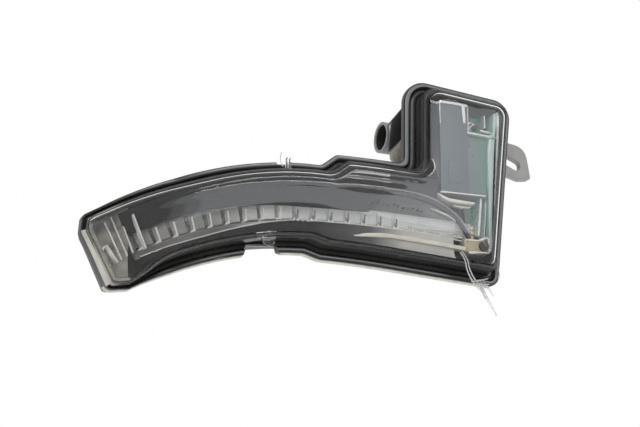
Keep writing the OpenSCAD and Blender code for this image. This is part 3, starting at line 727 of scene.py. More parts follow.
def trim_with_painted_haze(name, graded):
    """Matt dark trim beside the guide, paler towards the tower; that paler tone is a painted reflection of the
    haze on the lens, not the trim's own colour.
    """
    return moulded(name, grey(0.02), 0.4, 0.35, 30, (0.6, 1, 3), 0.01, graded=graded, Specular_IOR_Level=0.12)


# Both trims' tones along x are painted: darker at the tip, paler towards the tower where the lens's reflection
# haze lies
upper_trim_painted_haze = trim_with_painted_haze("upper_trim", [(-130, (0.012, 0.011, 0.010)), (-60, grey(0.016)), (-10, grey(0.03)),
                                      (30, grey(0.07))])
# The lower trim's pale tone from x = 4 on is painted highlight and painted reflection haze
lower_trim_painted_haze = trim_with_painted_haze("lower_trim", [(-130, (0.014, 0.013, 0.012)), (-45, grey(0.014)), (-15, grey(0.12)),
                                      (4, (0.66, 0.64, 0.60)), (38, (0.62, 0.61, 0.60))])
strip_grey = moulded("strip_grey", grey(0.3), 0.3, 0.42, 70, (0.6, 1, 1.6), graded=[
    (-130, (0.27, 0.255, 0.23)), (-85, (0.36, 0.355, 0.34)), (-66, grey(0.80)), (36, (0.85, 0.85, 0.84))])
streaked = moulded("streaked_reflector", grey(0.12), 0.28, 0.85, 42, (0.4, 1, 5.0), 0.02, graded=[
    (-17, grey(0.03)), (-4, (0.09, 0.09, 0.095)), (14, (0.17, 0.17, 0.175)), (28, grey(0.36)),
    (38, (0.62, 0.60, 0.58))])
screen_green = moulded("screen_green", (0.2, 0.3, 0.27), 0.4, 0.12, 60, graded=[
    (41, (0.13, 0.155, 0.16)), (46, (0.12, 0.175, 0.165)), (50, (0.10, 0.20, 0.165)), (54.5, (0.12, 0.23, 0.19))])
# Dark border of the lens, the weld seen through it; its cream towards the tip is a painted reflection
lens_border_and_painted_reflection = moulded("lens_border_and_painted_reflection", grey(0.05), 0.4, 0.2, 40, graded=[
    (-148, (0.72, 0.70, 0.60)), (-139, (0.60, 0.58, 0.50)), (-134, (0.06, 0.055, 0.05)), (60, grey(0.05))])
grey_cover = moulded("grey_cover", (0.44, 0.43, 0.42), 0.42, 0.12, 40, grain=0.2)
plate_grey = moulded("plate_grey", (0.103, 0.124, 0.142), 0.42, 0.12, 18, (1, 1, 0.5))
# Pale colour under the rim's lower edge: a painted reflection of the floor
lip_painted_reflection = moulded("painted_lip_reflection", (0.84, 0.81, 0.74), 0.7, 0.12, 300, grain=0.3)
tick_grey = moulded("tick_grey", grey(0.16), 0.35, 0.3, 90)
# Beige of the cover's lower flank: a painted reflection of the pale floor
flank_painted_reflection = moulded("painted_flank_reflection", (0.56, 0.50, 0.42), 0.4, 0.28, 240, second=(0.70, 0.65, 0.57))
mint = moulded("mint_wall", (0.56, 0.73, 0.69), 0.35, 0.12, 25, (1, 1, 0.3))
# Cream plastic, also used for the painted highlight below the guide's end and the painted reflection along the
# tip's edge
cream_and_painted_highlight = moulded("cream_plastic", (0.74, 0.71, 0.61), 0.4, 0.14, 90)
gold = moulded("gold_holder", (0.50, 0.42, 0.24), 0.38, 0.25, 160, second=(0.66, 0.60, 0.42))
# Frosted white for prism edges, also used for the painted highlight bead along the strip's lower edge
frosted_and_painted_highlight = moulded("frosted_white_and_painted_highlight", (0.74, 0.73, 0.69), 0.35, 0.08, 120)
rib_white = moulded("rib_white", (0.82, 0.81, 0.77), 0.32, 0.2, 140)
tip_floor = moulded("tip_floor", (0.16, 0.155, 0.14), 0.35, 0.5, 110, second=(0.42, 0.40, 0.34))
# Pinkish white for painted highlights along edges
painted_highlight_pink = moulded("painted_highlight_pinkish", (0.90, 0.86, 0.84), 0.35, 0.06, 70)
silver = moulded("pale_silver", (0.52, 0.60, 0.56), 0.3, 0.15, 80, Metallic=0.4)
steel = moulded("steel", (0.5, 0.5, 0.49), 0.3, 0.2, 200, Metallic=0.9)
brass = moulded("brass", (0.62, 0.5, 0.26), 0.3, 0.2, 150, Metallic=0.9)
chip_black = moulded("chip_black", (0.018, 0.018, 0.02), 0.45, 0.3, 200)
tan = moulded("capacitor_tan", (0.34, 0.25, 0.13), 0.45, 0.2, 300)
led_cream = moulded("led_cream", (0.78, 0.72, 0.5), 0.35, 0.1, 300)
arc_dark = moulded("arc_dark", (0.055, 0.042, 0.046), 0.25, 0.4, 60)
arc_pale = moulded("arc_pale", (0.30, 0.275, 0.28), 0.3, 0.4, 60)
green_dark = moulded("green_dark", (0.03, 0.10, 0.07), 0.35, 0.3, 120)
board_green = board_material()
lens_glass = glass_material("clear_lens", (0.98, 0.985, 0.985), 0.025, 0.035, 22, (0.35, 1, 1.6), 0.96)
guide_glass = glass_material("clear_guide", (0.96, 0.965, 0.955), 0.05, 0.06, 60, (0.4, 1, 1.5), 0.98)
GUIDE_CLEAR_X, GUIDE_HAZY_X, GUIDE_HAZY = -75, -35, 0.74
feed(guide_glass, "Transmission_Weight", map_range(
    guide_glass.node_tree, object_x(guide_glass.node_tree), frame_x(GUIDE_CLEAR_X), frame_x(GUIDE_HAZY_X),
    1.0, GUIDE_HAZY))
thread = glass_material("clear_thread", (0.93, 0.93, 0.92), 0.2, 0.3, 400, (1, 1, 1), 0.8)
feed(thread, "Transmission_Weight", 0.45)

# ---- Notches, web and clips ----
NOTCH_X, NOTCH_W = -58.9, 5.4
FOOT_X, FOOT_W, FOOT_H = -68.5, 14.4, 4.4
SOCKET_Z, MOUTH_X = 60.4, 6.5


def notch_cutter(margin):
    shape = Shape()
    y0, y1 = wrap_y(FOOT_X + FOOT_W / 2, RIM_DROP) - 2, wrap_y(NOTCH_X - FOOT_W, FLANGE_O) + 6
    top, low = top_z(NOTCH_X) - 1.4 - margin, low_z(FOOT_X) + FOOT_H + margin
    half = FOOT_W / 2 + margin
    shape.block(NOTCH_X - NOTCH_W / 2 - margin, NOTCH_X + NOTCH_W / 2 + margin, y0, y1, top, top + 6)
    shape.plate([(FOOT_X - half - 2, low - 8), (FOOT_X + half + 2, low - 8),
                 (FOOT_X + half, low), (FOOT_X - half, low)], y0, y1)
    return shape.make("cutter")


# ---- Lens ----
SHOULDER_M = LEDGE_W + 0.5
FACE_M = SHOULDER_M + SHOULDER_W
CROWN_D, CROWN_W = 0.7, 13.5


def shoulder(a, t):
    a = math.radians(a)
    return (FACE_M - (SHOULDER_W - t) * math.cos(a), -0.4 - (LENS_H - 0.4 - t) * math.sin(a))


def crowned(ring, depth):
    """Depth of the lens's face: it swells forward a little away from its border."""
    near = [Vector(p) for p in ring]

    def depth_at(x, z):
        p = Vector((x, z))
        d = math.sqrt(min((p - q).length_squared for q in near))
        k = 1 - min(d, CROWN_W) / CROWN_W
        return depth - CROWN_D * (1 - k * k)
    return depth_at


# A shallow ridge runs along the lens, following the guide's arc; it draws the long highlights
RIDGE_LOW, RIDGE_HIGH = 8.0, 19.4
RIDGES = ((12.6, 4.2, 0.29), (18.0, 1.3, 0.06))


def arc_height(x, z):
    if x > -CROWN_X:
        return z - GUIDE_Z
    return math.hypot(x + CROWN_X, z - GUIDE_Z + GUIDE_R) - GUIDE_R


def ridge_rise(x, z):
    fade = smooth01((12 - x) / 30)
    return fade * sum(rise * (0.5 + 0.5 * math.cos(math.pi * min(1, abs(arc_height(x, z) - h) / half)))
                      for h, half, rise in RIDGES)


def on_ridges(p):
    return p[0] < 20 and RIDGE_LOW - 0.6 < arc_height(p[0], p[1]) < RIDGE_HIGH + 0.6


def ridge_rows():
    return [Vector(arm(s, h)) for s in steps(-140, 20, 110) for h in steps(RIDGE_LOW, RIDGE_HIGH, 28)]


def lens_piece():
    outer = [(FACE_M, -LENS_H)] + [shoulder(a, 0) for a in range(86, -1, -6)]
    outer += [(LEDGE_W + 0.12, -0.42), (LEDGE_W, -0.25), (LEDGE_W, 2.05), (LEDGE_W + 0.15, 2.2)]
    inner = [(SHOULDER_M + LENS_T - 0.1, 2.2), (SHOULDER_M + LENS_T, 2.1)]
    inner += [shoulder(a, LENS_T) for a in range(0, 87, 6)] + [(FACE_M, -LENS_H + LENS_T)]
    verts, faces = loft(outer + inner)
    ring = loop(FACE_M)
    face = crowned(ring, -LENS_H)
    add_cap(verts, faces, FACE_M, lambda x, z: face(x, z) - ridge_rise(x, z), 2.4, 1.0, ridge_rows(), on_ridges)
    add_cap(verts, faces, FACE_M, crowned(ring, -LENS_H + LENS_T), 2.4, 1.0)
    obj = new_object("lens_shell", verts, faces)
    clips = Shape()
    y = wrap_y(NOTCH_X, 0)
    for side in (-0.9, 0.9):
        z0, z1 = top_z(NOTCH_X) - LEDGE_W - 1, top_z(NOTCH_X) - 0.4
        clips.plate([(NOTCH_X + side - 0.4, z0), (NOTCH_X + side + 0.4, z0), (NOTCH_X + side + 0.3, z1 - 0.5),
                     (NOTCH_X + side + 0.1, z1), (NOTCH_X + side - 0.1, z1), (NOTCH_X + side - 0.3, z1 - 0.5)],
                    y - 0.4, y + 1.6)
    y, z = wrap_y(FOOT_X, 0), low_z(FOOT_X) + LEDGE_W - 0.6
    clips.turned(FOOT_X, z, [(3.3, y - 0.6), (3.8, y - 0.3), (3.8, y + 0.6), (3.5, y + 0.9)])
    join_boolean(obj, clips.make("clips"), "UNION")
    finish_mesh(obj)
    return obj


def paint_border(obj):
    """Gives the faces that lie against the housing the colour of the weld seen through the lens: dark, and cream
    towards the tip, where the cream is a painted reflection of light inside the weld flange.
    """
    obj.data.materials.append(lens_border_and_painted_reflection)
    ring = loop(SHOULDER_M + LENS_T - 0.4)
    for poly in obj.data.polygons:
        x, y, z = design_centre(poly)
        at_foot = abs(x - FOOT_X) < 5 and z < low_z(FOOT_X) + LEDGE_W + 0.5
        at_clips = abs(x - NOTCH_X) < 4 and z > top_z(x) - 5.6
        wrap_cos = math.cos(math.asin(min(1, abs(min(x, 0)) / WRAP_R)))
        if not (at_foot or at_clips) and y > wrap_y(x, -0.9) and (poly.normal[1] > 0.9 * wrap_cos
                                                                   or not inside((x, z), ring)):
            poly.material_index = 1


lens = piece_of(lens_piece(), lens_glass, "clear_lens", "lens")
paint_border(lens)

# ---- Housing ----


def housing_piece():
    section = [(WALL_M + 4.5, BACK_O), (WALL_M + 3, BACK_O), (WALL_M + 1, BACK_O - 0.7), (WALL_M, BACK_O - 2.5),
               (WALL_M, FLANGE_O), (0.9, FLANGE_O), (0, FLANGE_O - 0.9), (0, RIM_DROP + 0.6), (0.6, RIM_DROP),
               (2.6, RIM_DROP), (3.2, GROOVE_O), (WALL_M, GROOVE_O), (WALL_M, SEAT_O), (INNER_M, SEAT_O),
               (INNER_M, FLOOR_O - 1.5), (INNER_M + 2, FLOOR_O), (INNER_M + 3, FLOOR_O)]
    radii = [0, 0, 0, 0, 0.4, 0.3, 0.4, 0.3, 0.3, 0.5, 0.3, 0.6, 0.25, 0.25, 0.5, 0.5, 0]
    verts, faces = loft(profile_fillet(section, radii))
    add_cap(verts, faces, WALL_M + 4.5, lambda x, z: BACK_O, 6.0, 2.0)
    add_cap(verts, faces, INNER_M + 3, lambda x, z: FLOOR_O, 6.0, 2.0)
    obj = new_object("housing_shell", verts, faces)
    web = Shape()
    x0, x1, y1 = MOUTH_X - 1.1, TOWER_X + WALL_M * LEFT_SHARE + 1.5, BACK_O - 0.4
    web.plate([(x0, SOCKET_Z - 12.6), (x0, SOCKET_Z + 3.4), (x1, SOCKET_Z + 16.5), (x1, SOCKET_Z - 0.5)],
              y1 - 2.6, y1)
    join_boolean(obj, web.make("web", 0.4), "UNION")
    join_boolean(obj, notch_cutter(0), "DIFFERENCE")
    finish_mesh(obj)
    return obj


def paint_inside(obj, mat):
    """The housing's cavity is matt, so the light through the lens doesn't gloss it; it is also painted darker than
    the outside, as painted shade in the hollow.
    """
    obj.data.materials.append(mat)
    ring = loop(INNER_M - 0.1)
    for poly in obj.data.polygons:
        x, y, z = design_centre(poly)
        if y < wrap_y(x, FLOOR_O) + 0.5 and inside((x, z), ring) and poly.normal[1] < 0.9 - 0.004 * max(0, -x):
            poly.material_index = 1


housing = piece_of(housing_piece(), black, "black_plastic", "rear_housing")
paint_inside(housing, cavity_black_painted_shade)


def lower_lip():
    """Pale strip under the rim's lower edge, left out at the notch; its pale colour is a painted reflection of the
    bright floor below.
    """
    out_m, in_m = loop(-0.5), loop(0.15)
    keep = [i for i in range(LOOP_N) if out_m[(i + 1) % LOOP_N][0] > out_m[i][0] and out_m[i][1] < -12
            and -141 < out_m[i][0] < 57]
    shape = Shape()
    for part in ([i for i in keep if out_m[i][0] < FOOT_X - 8.5], [i for i in keep if out_m[i][0] > FOOT_X + 8.5]):
        shape.sweep([[laid(out_m[i], RIM_DROP + 1.5), laid(out_m[i], FLANGE_O - 0.4),
                      laid(in_m[i], FLANGE_O - 0.2), laid(in_m[i], RIM_DROP + 1.3)] for i in part])
    return shape.make("lower_lip", 0.08)


piece_of(lower_lip(), lip_painted_reflection, "seal_rubber")


def rim_bead():
    m0, m1, o0, o1 = 3.2 + GAP, WALL_M - GAP, GROOVE_O - 1.5, GROOVE_O - 0.05
    section = profile_fillet([(m0, o1), (m0, o0 + 0.5), ((m0 + m1) / 2, o0), (m1, o0 + 0.5), (m1, o1)],
                             [0, 0.5, 1.2, 0.5, 0])
    verts, faces = loft(section)
    last = len(section) - 1
    faces += [[last * LOOP_N + i, last * LOOP_N + (i + 1) % LOOP_N, (i + 1) % LOOP_N, i] for i in range(LOOP_N)]
    obj = new_object("rim_bead", verts, faces)
    join_boolean(obj, notch_cutter(GAP), "DIFFERENCE")
    finish_mesh(obj)
    return obj


piece_of(rim_bead(), rubber, "seal_rubber", "rim_seal")

# ---- Light guide with its teeth, and the tray behind it ----
GUIDE_END_X, GUIDE_TIP_S, GUIDE_O, GUIDE_D, GUIDE_H = 43.5, -130.4, 6.0, 5.0, 8.0
TEETH, TOOTH_PITCH, TOOTH_D = 16, 8.8, 1.6
BRIGHT_TEETH = 7


def tooth_s(k):
    """Distance of tooth k along the guide's own arc."""
    x = -(WRAP_R - GUIDE_O) * math.sin(k * TOOTH_PITCH / (WRAP_R - GUIDE_O))
    if x > -CROWN_X:
        return x
    return -CROWN_X - GUIDE_R * math.asin((-CROWN_X - x) / GUIDE_R)


def guide_section(back, front):
    h, r = GUIDE_H / 2, 0.5
    return [(-h + r, front), (h - r, front), (h, front + r), (h, back - r), (h - r, back), (-h + r, back),
            (-h, back - r), (-h, front + r)]


def guide_piece():
    shape = Shape()
    spans = []
    marks = [(tooth_s(k) + d, cut) for k in range(TEETH) for d, cut in ((-0.9, 0), (0, TOOTH_D), (0.9, 0))]
    for s in steps(GUIDE_TIP_S, GUIDE_END_X, 90):
        if min(abs(s - m[0]) for m in marks) > 1.0:
            spans.append((s, 0))
    spans = sorted(spans + marks)
    shape.sweep([[arm_place(s, h, o) for h, o in guide_section(GUIDE_O + GUIDE_D - cut, GUIDE_O)]
                 for s, cut in spans])
    return shape.make("light_guide_prisms", angle=25)


piece_of(guide_piece(), guide_glass, "clear_guide", "light_guide")


WIDEN_S, WIDEN_L = 52, 47  # where the strip starts to widen towards the tip, and over what length


def widened(s):
    return clamp01((-s - WIDEN_S) / WIDEN_L)


def strip_low(s):
    return -mix(4.9, 8.6, widened(s))


def strip_high(s):
    return mix(2.5, 5.0, widened(s))


def bar_on_arm(shape, s, h0, h1, width, o0, o1, lean=0.0):
    """Thin upright rib on the guide, with its edges rounded by the bevel."""
    shape.sweep([[arm_place(s + lean * (h - h0) / (h1 - h0) + d, h, o) for d, o in
                  ((-width / 2, o1), (-width / 2, o0), (width / 2, o0), (width / 2, o1))]
                 for h in steps(h0, h1, 4)])


def bright_ticks():
    """Frosted prism edges: tall at the tip, with a small foot at the guide's lower edge."""
    shape = Shape()
    for k in range(BRIGHT_TEETH, TEETH):
        s, share = tooth_s(k), (k - BRIGHT_TEETH) / (TEETH - 1 - BRIGHT_TEETH)
        low, high = mix(-4.4, -5.0, share), mix(1.6, 3.6, share)
        bar_on_arm(shape, s, low, high, mix(0.45, 0.75, share), GUIDE_O - 0.5, GUIDE_O + 0.2, 0.5)
        foot = mix(1.4, 2.6, share)
        shape.sweep([[arm_place(s + d, h, o) for d, h in ((0, low), (-foot, low - 0.1), (-foot, low + 0.35),
                                                          (-0.5, low + 1.3), (0, low + 2.0))]
                     for o in (GUIDE_O - 0.4, GUIDE_O + 0.2)])
    return shape.make("guide_ticks", 0.12, 2, 30)


def dark_ticks():
    shape = Shape()
    for k in range(BRIGHT_TEETH):
        bar_on_arm(shape, tooth_s(k), -3.6, 0.9, 0.7, GUIDE_O - 0.35, GUIDE_O + 0.2, 0.3)
        bar_on_arm(shape, tooth_s(k) - 0.9, -4.0, -1.5, 0.5, GUIDE_O - 0.3, GUIDE_O + 0.2, 0.2)
    return shape.make("guide_shadow_ticks", 0.12, 2, 30)


def guide_dots():
    shape = Shape()
    for k in range(-4, BRIGHT_TEETH + 1):
        s = -k * TOOTH_PITCH
        for d in (-1.2, 0.8):
            x, z = arm(s + d, -4.0)
            y = wrap_y(x, GUIDE_O)
            shape.turned(x, z, [(0.25, y - 0.45), (0.55, y - 0.3), (0.6, y + 0.1)], 12)
    return shape.make("guide_dots", 0, 2, 50)


piece_of(bright_ticks(), frosted_and_painted_highlight, "clear_guide")
piece_of(dark_ticks(), tick_grey, "clear_guide")
piece_of(guide_dots(), frosted_and_painted_highlight, "clear_guide")

TRAY_O, TRAY_T = GUIDE_O + GUIDE_D + GAP, 1.5
TRAY_END = 35.6


def tray_piece():
    shape = Shape()
    spans = steps(GUIDE_TIP_S, TRAY_END, 60)

    def section(s):
        low, high = strip_low(s) + 0.2, strip_high(s) + 1.6
        return [(low, TRAY_O - 0.6), (low + 0.7, TRAY_O), (high - 0.7, TRAY_O), (high, TRAY_O - 0.6),
                (high, TRAY_O + TRAY_T), (low, TRAY_O + TRAY_T)]
    shape.arm_bar(spans, section)

    def foot(s):
        x = arm(s, 0)[0]
        deep = FLOOR_O - TIP_RISE_D * toward_tip(x, 2) - (0.25 if x > -85 else 0.6)
        return [(-1, TRAY_O + TRAY_T - 0.1), (1, TRAY_O + TRAY_T - 0.1), (1, deep), (-1, deep)]
    shape.arm_bar(steps(GUIDE_TIP_S, TRAY_END, 40), foot)
    return shape.make("guide_tray", 0.15)


piece_of(tray_piece(), strip_grey, "grey_reflector", "guide_reflector")


# ---- Dark trim above and below the guide ----
BEZEL_WALL_O, BEZEL_GUIDE_O, BEZEL_T, BEZEL_SINK = 3.4, 5.6, 1.6, 0.9


def reach(s, edge):
    """Height in the arc's frame at which the trim meets the housing's inner wall."""
    h = 0.0
    for _ in range(14):
        x, z = arm(s, h)
        h += edge(x) - z
    return h


def bezel_piece(name, edge, lip, end):
    """Hollowed trim from the housing's inner wall to the strip, along the guide."""
    def section(s):
        wall, near = reach(s, edge), lip(s)
        front = [(mix(wall, near, t), mix(BEZEL_WALL_O, BEZEL_GUIDE_O, t) + BEZEL_SINK * math.sin(math.pi * t))
                 for t in steps(0, 1, 8)]
        middle = mix(BEZEL_WALL_O, BEZEL_GUIDE_O, 0.5) + BEZEL_T + BEZEL_SINK
        return front + [(near, BEZEL_GUIDE_O + BEZEL_T), (mix(wall, near, 0.5), middle),
                        (wall, BEZEL_WALL_O + BEZEL_T)]
    shape = Shape()
    shape.arm_bar(steps(GUIDE_TIP_S, end, 70), section)
    return shape.make(name, 0.15, 1)


def guide_lower_painted_highlight():
    """Narrow pale bead along the strip's lower edge: a painted highlight, standing in for the bright line along
    the lens's lower face edge.
    """
    half, y0, y1 = 0.275, BEZEL_GUIDE_O - 0.3, BEZEL_GUIDE_O + 0.2

    def section(s):
        low, high = strip_low(s) + 0.25 - half, strip_low(s) + 0.25 + half
        return [(low, y1), (low, y0), (high, y0), (high, y1)]
    shape = Shape()
    shape.arm_bar(steps(GUIDE_TIP_S, 38, 50), section)
    return shape.make("guide_lower_painted_highlight", 0.15)


# Line of the dark arc round the guide's end
ARC_LINE = [(-6, 19.6), (3.3, 19.6), (11.9, 19.2), (22.3, 17.1), (31.0, 12.8), (36.2, 9.1), (39.6, 4.3),
            (42.1, 0.6)]
UPPER_END, LOWER_END = 24.0, 33.0


def on_line(points, x):
    for (x0, z0), (x1, z1) in zip(points, points[1:]):
        if x <= x1:
            return mix(z0, z1, clamp01((x - x0) / (x1 - x0)))
    return points[-1][1]


def upper_lip(s):
    """Lower edge of the upper trim: along the strip, then up to the arc round the guide's end."""
    return mix(strip_high(s), on_line(ARC_LINE, s) - GUIDE_Z - 0.6, smooth01((s + 17) / 15))


piece_of(bezel_piece("upper_trim", lambda x: inner_top(x) - 0.1, upper_lip, UPPER_END),
         upper_trim_painted_haze, "dark_trim", "upper_bezel")
piece_of(bezel_piece("lower_trim", lambda x: inner_low(x) + 0.05, strip_low, LOWER_END),
         lower_trim_painted_haze, "dark_trim", "lower_bezel")
piece_of(guide_lower_painted_highlight(), frosted_and_painted_highlight, "dark_trim")

# ---- Tip: backplate with raised pale ribs and a liner along its border ----
TIP_END_X = -128.7
KNEE_Z = TIP_TOP_Z - TIP_BLUNT


def tip_border(end_x):
    """Upper part, end and lower part of the inner wall's loop at the tip."""
    return [p for p in loop(INNER_M + 0.7) if p[0] < end_x]


def wrapped(p, o):
    return place(p[0], wrap_y(p[0], o), p[1])


def tip_plate():
    ring = tip_border(TIP_END_X)
    shape = Shape()
    shape.sweep([[wrapped(p, o) for p in ring] for o in (6.6, 8.2)])
    return shape.make("tip_backplate", 0.2)


def tip_liner():
    """Wall round the tip's border, on the backplate."""
    path = [p for p in tip_border(TIP_END_X - 1) if p[1] < KNEE_Z + 3.5]
    shape = Shape()
    inner = []
    for i, p in enumerate(path):
        d = direction(path, i)
        inner.append(p + Vector((-d[1], d[0])) * 1.5)
    shape.sweep([[wrapped(a, 7.0), wrapped(a, -0.6), wrapped(b, -0.2), wrapped(b, 7.0)]
                 for a, b in zip(path, inner)])
    return shape.make("tip_liner", 0.25)


RIB_SHIFT_X, RIB_SHIFT_Z = 0.98, 0.78
TIP_RIBS = [((-146.3, -7.8), (-140.7, -19.9), 1.3), ((-140.7, -3.1), (-133.2, -22.7), 1.2),
            ((-138.1, -0.7), (-130.7, -21.0), 0.9), ((-134.4, -0.6), (-128.3, -19.4), 0.8),
            ((-139.8, -14.4), (-134.9, -24.1), 1.6)]


def tip_ribs():
    shape = Shape()
    for (x0, z0), (x1, z1), w in TIP_RIBS:
        line = [(mix(x0, x1, t) + RIB_SHIFT_X, mix(z0, z1, t) + RIB_SHIFT_Z) for t in steps(0, 1, 6)]
        shape.stroke(line, [w * mix(0.4, 0.62, t) for t in steps(0, 1, 6)], 5.6, 6.7)
    shape.stroke([(-140.7, -19.9), (-137.5, -25.5)], 1.0, 3.2, 6.7)
    shape.stroke([(-139.8, -14.4), (-141.6, -19.0)], 0.8, 3.4, 6.7)
    return shape.make("tip_ribs", 0.25)


def tip_line():
    shape = Shape()
    shape.stroke([(mix(-128.9, -122.8, t), mix(0.9, -17.4, t)) for t in steps(0, 1, 8)], 0.6, 2.9, 6.0)
    return shape.make("tip_border_line", 0.15)


def tip_edge_painted_reflection():
    """Pale lip of the lens on the narrow ledge along the tip's raked edge; its cream colour is a painted
    reflection of light inside the weld flange.
    """
    low, high, back = loop(1.0), loop(6.9), loop(5.6)
    keep = [i for i in range(LOOP_N) if low[i][0] < -136.5 and -36.5 < low[i][1] < KNEE_Z + 1]
    shape = Shape()
    shape.sweep([[laid(low[i], RIM_DROP - 0.1), laid(high[i], -0.45), laid(high[i], 0.2), laid(back[i], 1.2),
                  laid(low[i], RIM_DROP + 0.4)] for i in keep])
    return shape.make("tip_edge_painted_reflection", 0.15)


piece_of(tip_edge_painted_reflection(), cream_and_painted_highlight, "clear_lens")
piece_of(tip_plate(), tip_floor, "pale_reflector", "tip_reflector")
piece_of(tip_liner(), tip_floor, "pale_reflector")
piece_of(tip_ribs(), rib_white, "pale_reflector")
piece_of(tip_line(), frosted_and_painted_highlight, "pale_reflector")

# ---- Tower: frame with its cut-out, wall, posts and the end of the guide ----
BOARD_Y, BOARD_END_X = 12.3, 55.0
PLATE_Y0, PLATE_Y1 = 3.0, 4.5
COVER_X0, COVER_X1, COVER_Z0, COVER_Z1 = 25.0, 41.4, 22.0, 72.0


def bar_piece(name, bevel, mat, slot, *bars):
    """Piece made of bars; each has its line, its width or widths, and its front and back depth."""
    shape = Shape()
    for bar in bars:
        shape.stroke(*bar)
    return piece_of(shape.make(name, bevel), mat, slot)


def tower_frame():
    shape = Shape()
    shape.plate([(COVER_X0, COVER_Z0), (COVER_X1 - 5, COVER_Z0), (COVER_X1, COVER_Z0 + 1), (COVER_X1, COVER_Z1),
                 (COVER_X0 + 1.2, COVER_Z1 + 0.1), (COVER_X0, COVER_Z1 - 1.2)], PLATE_Y0, PLATE_Y1)
    shape.block(COVER_X0, COVER_X0 + 1.5, PLATE_Y0 + 0.2, FLOOR_O - GAP, COVER_Z0, COVER_Z1 - 1)
    shape.block(COVER_X0, COVER_X1, PLATE_Y0 + 0.2, FLOOR_O - GAP, COVER_Z1 - 1.6, COVER_Z1 - 0.1)
    shape.block(COVER_X0, BOARD_END_X - 3, PLATE_Y0 + 0.2, BOARD_Y - GAP, COVER_Z0, COVER_Z0 + 1.5)
    return shape.make("tower_frame", 0.3)


def raised_panel():
    shape = Shape()
    shape.plate([(29.4, 27.5), (37.6, 27.8), (37.9, 40.2), (29.8, 39.8)], PLATE_Y0 - 0.35, PLATE_Y0 + 0.2)
    return shape.make("frame_panel", 0.2)


def tower_wall():
    """Mint wall that stands on the board along the tower's right side."""
    left = [(53.1, -5.9), (53.4, 10), (53.9, 30), (54.4, 50), (55.4, 57.5), (57.4, 60), (58.2, 71)]
    right = [(54.9, -6.2), (55.3, 10), (56.5, 30), (57.9, 50), (58.7, 57.5), (59.3, 62), (59.9, 71.2)]
    shape = Shape()
    shape.sweep([[place(a[0], 4.2, a[1]), place(b[0], 4.2, b[1]), place(b[0], BOARD_Y + 0.4, b[1]),
                  place(a[0], BOARD_Y - 0.05, a[1])] for a, b in zip(left, right)])
    return shape.make("tower_wall", 0.3)


def board_screen():
    """Greenish screen beside the frame, in front of the small parts on the board."""
    shape = Shape()
    shape.plate([(41.0, 24.2), (53.4, 24.2), (53.8, 40), (54.3, 56.0), (41.0, 56.4)], 5.6, 7.0)
    shape.plate([(41.2, 50.2), (44.8, 50.2), (44.8, 53.4), (41.2, 53.4)], 5.2, 5.8)
    shape.turned(45.8, 45.4, [(0.2, 5.1), (0.5, 5.3), (0.5, 5.8)], 14)
    shape.block(42.0, 53.0, 6.8, BOARD_Y - 0.02, 24.4, 25.6)
    return shape.make("board_screen", 0.2)


def contact_parts():
    """Post, shelf and pegs of the contact in the frame's cut-out, standing on the board."""
    shape = Shape()
    shape.stroke([(53.2, 69.4), (53.2, 62.2)], 0.9, 5.2, BOARD_Y)
    shape.stroke([(50.1, 60.4), (57.4, 59.8)], 1.0, 5.0, BOARD_Y)
    shape.stroke([(41.3, 57.3), (50, 57.1), (59.0, 56.8)], 1.1, PLATE_Y0 + 0.2, BOARD_Y)
    shape.stroke([(41.9, 71.6), (41.8, 57.6)], 0.5, PLATE_Y0 - 0.2, PLATE_Y0 + 0.6)
    shape.turned(47.1, 64.8, [(0.3, 7.8), (0.6, 8.0), (0.65, BOARD_Y)], 16)
    return shape.make("contact_parts", 0.15)


def contact_socket():
    shape = Shape()
    shape.turned(49.3, 63.1, [(0.9, 8.4), (1.25, 8.2), (1.45, 8.6), (1.5, BOARD_Y)], 20)
    shape.turned(46.2, 67.3, [(0.5, 9.6), (0.7, 9.8), (0.7, BOARD_Y)], 14)
    return shape.make("contact_socket", 0.1)


piece_of(tower_frame(), plate_grey, "grey_frame", "tower_cover")
# Pale beads on the frame: its upper edge, the raised panel, its lower edge and its left edge. They are painted
# highlights along those edges.
bar_piece("frame_painted_highlights", 0.12, painted_highlight_pink, "grey_frame",
          ([(25.0, 72.1), (33, 72.3), (41.4, 72.0)], 1.3, PLATE_Y0 - 0.6, PLATE_Y0 + 0.3),
          ([(39.0, 71.5), (39.4, 65), (39.6, 62.0)], [1.8, 1.6, 1.2], PLATE_Y0 - 0.35, PLATE_Y0 + 0.2),
          ([(24.7, 21.9), (38, 22.4), (51.3, 22.9)], 0.6, PLATE_Y0 - 0.4, PLATE_Y0 + 1.2),
          ([(25.2, 71.5), (25.2, 60)], 0.4, PLATE_Y0 - 0.3, PLATE_Y0 + 0.2))
piece_of(raised_panel(), plate_grey, "grey_frame")
piece_of(tower_wall(), mint, "grey_frame")
piece_of(board_screen(), screen_green, "grey_frame")
# Pinkish-white strip on the tower's right inner wall: a painted highlight of the lens's right edge
bar_piece("tower_painted_highlight_strip", 0.2, painted_highlight_pink, "grey_frame",
          ([(60.6, 72.0), (60.2, 62), (59.1, 44.6)], [1.4, 1.2, 0.8], 3.4, 4.9),
          ([(59.0, 44.6), (57.9, 28), (56.9, 10)], [0.7, 0.6, 0.4], 3.6, 4.9))
piece_of(contact_parts(), silver, "grey_frame")
piece_of(contact_socket(), chip_black, "grey_frame")
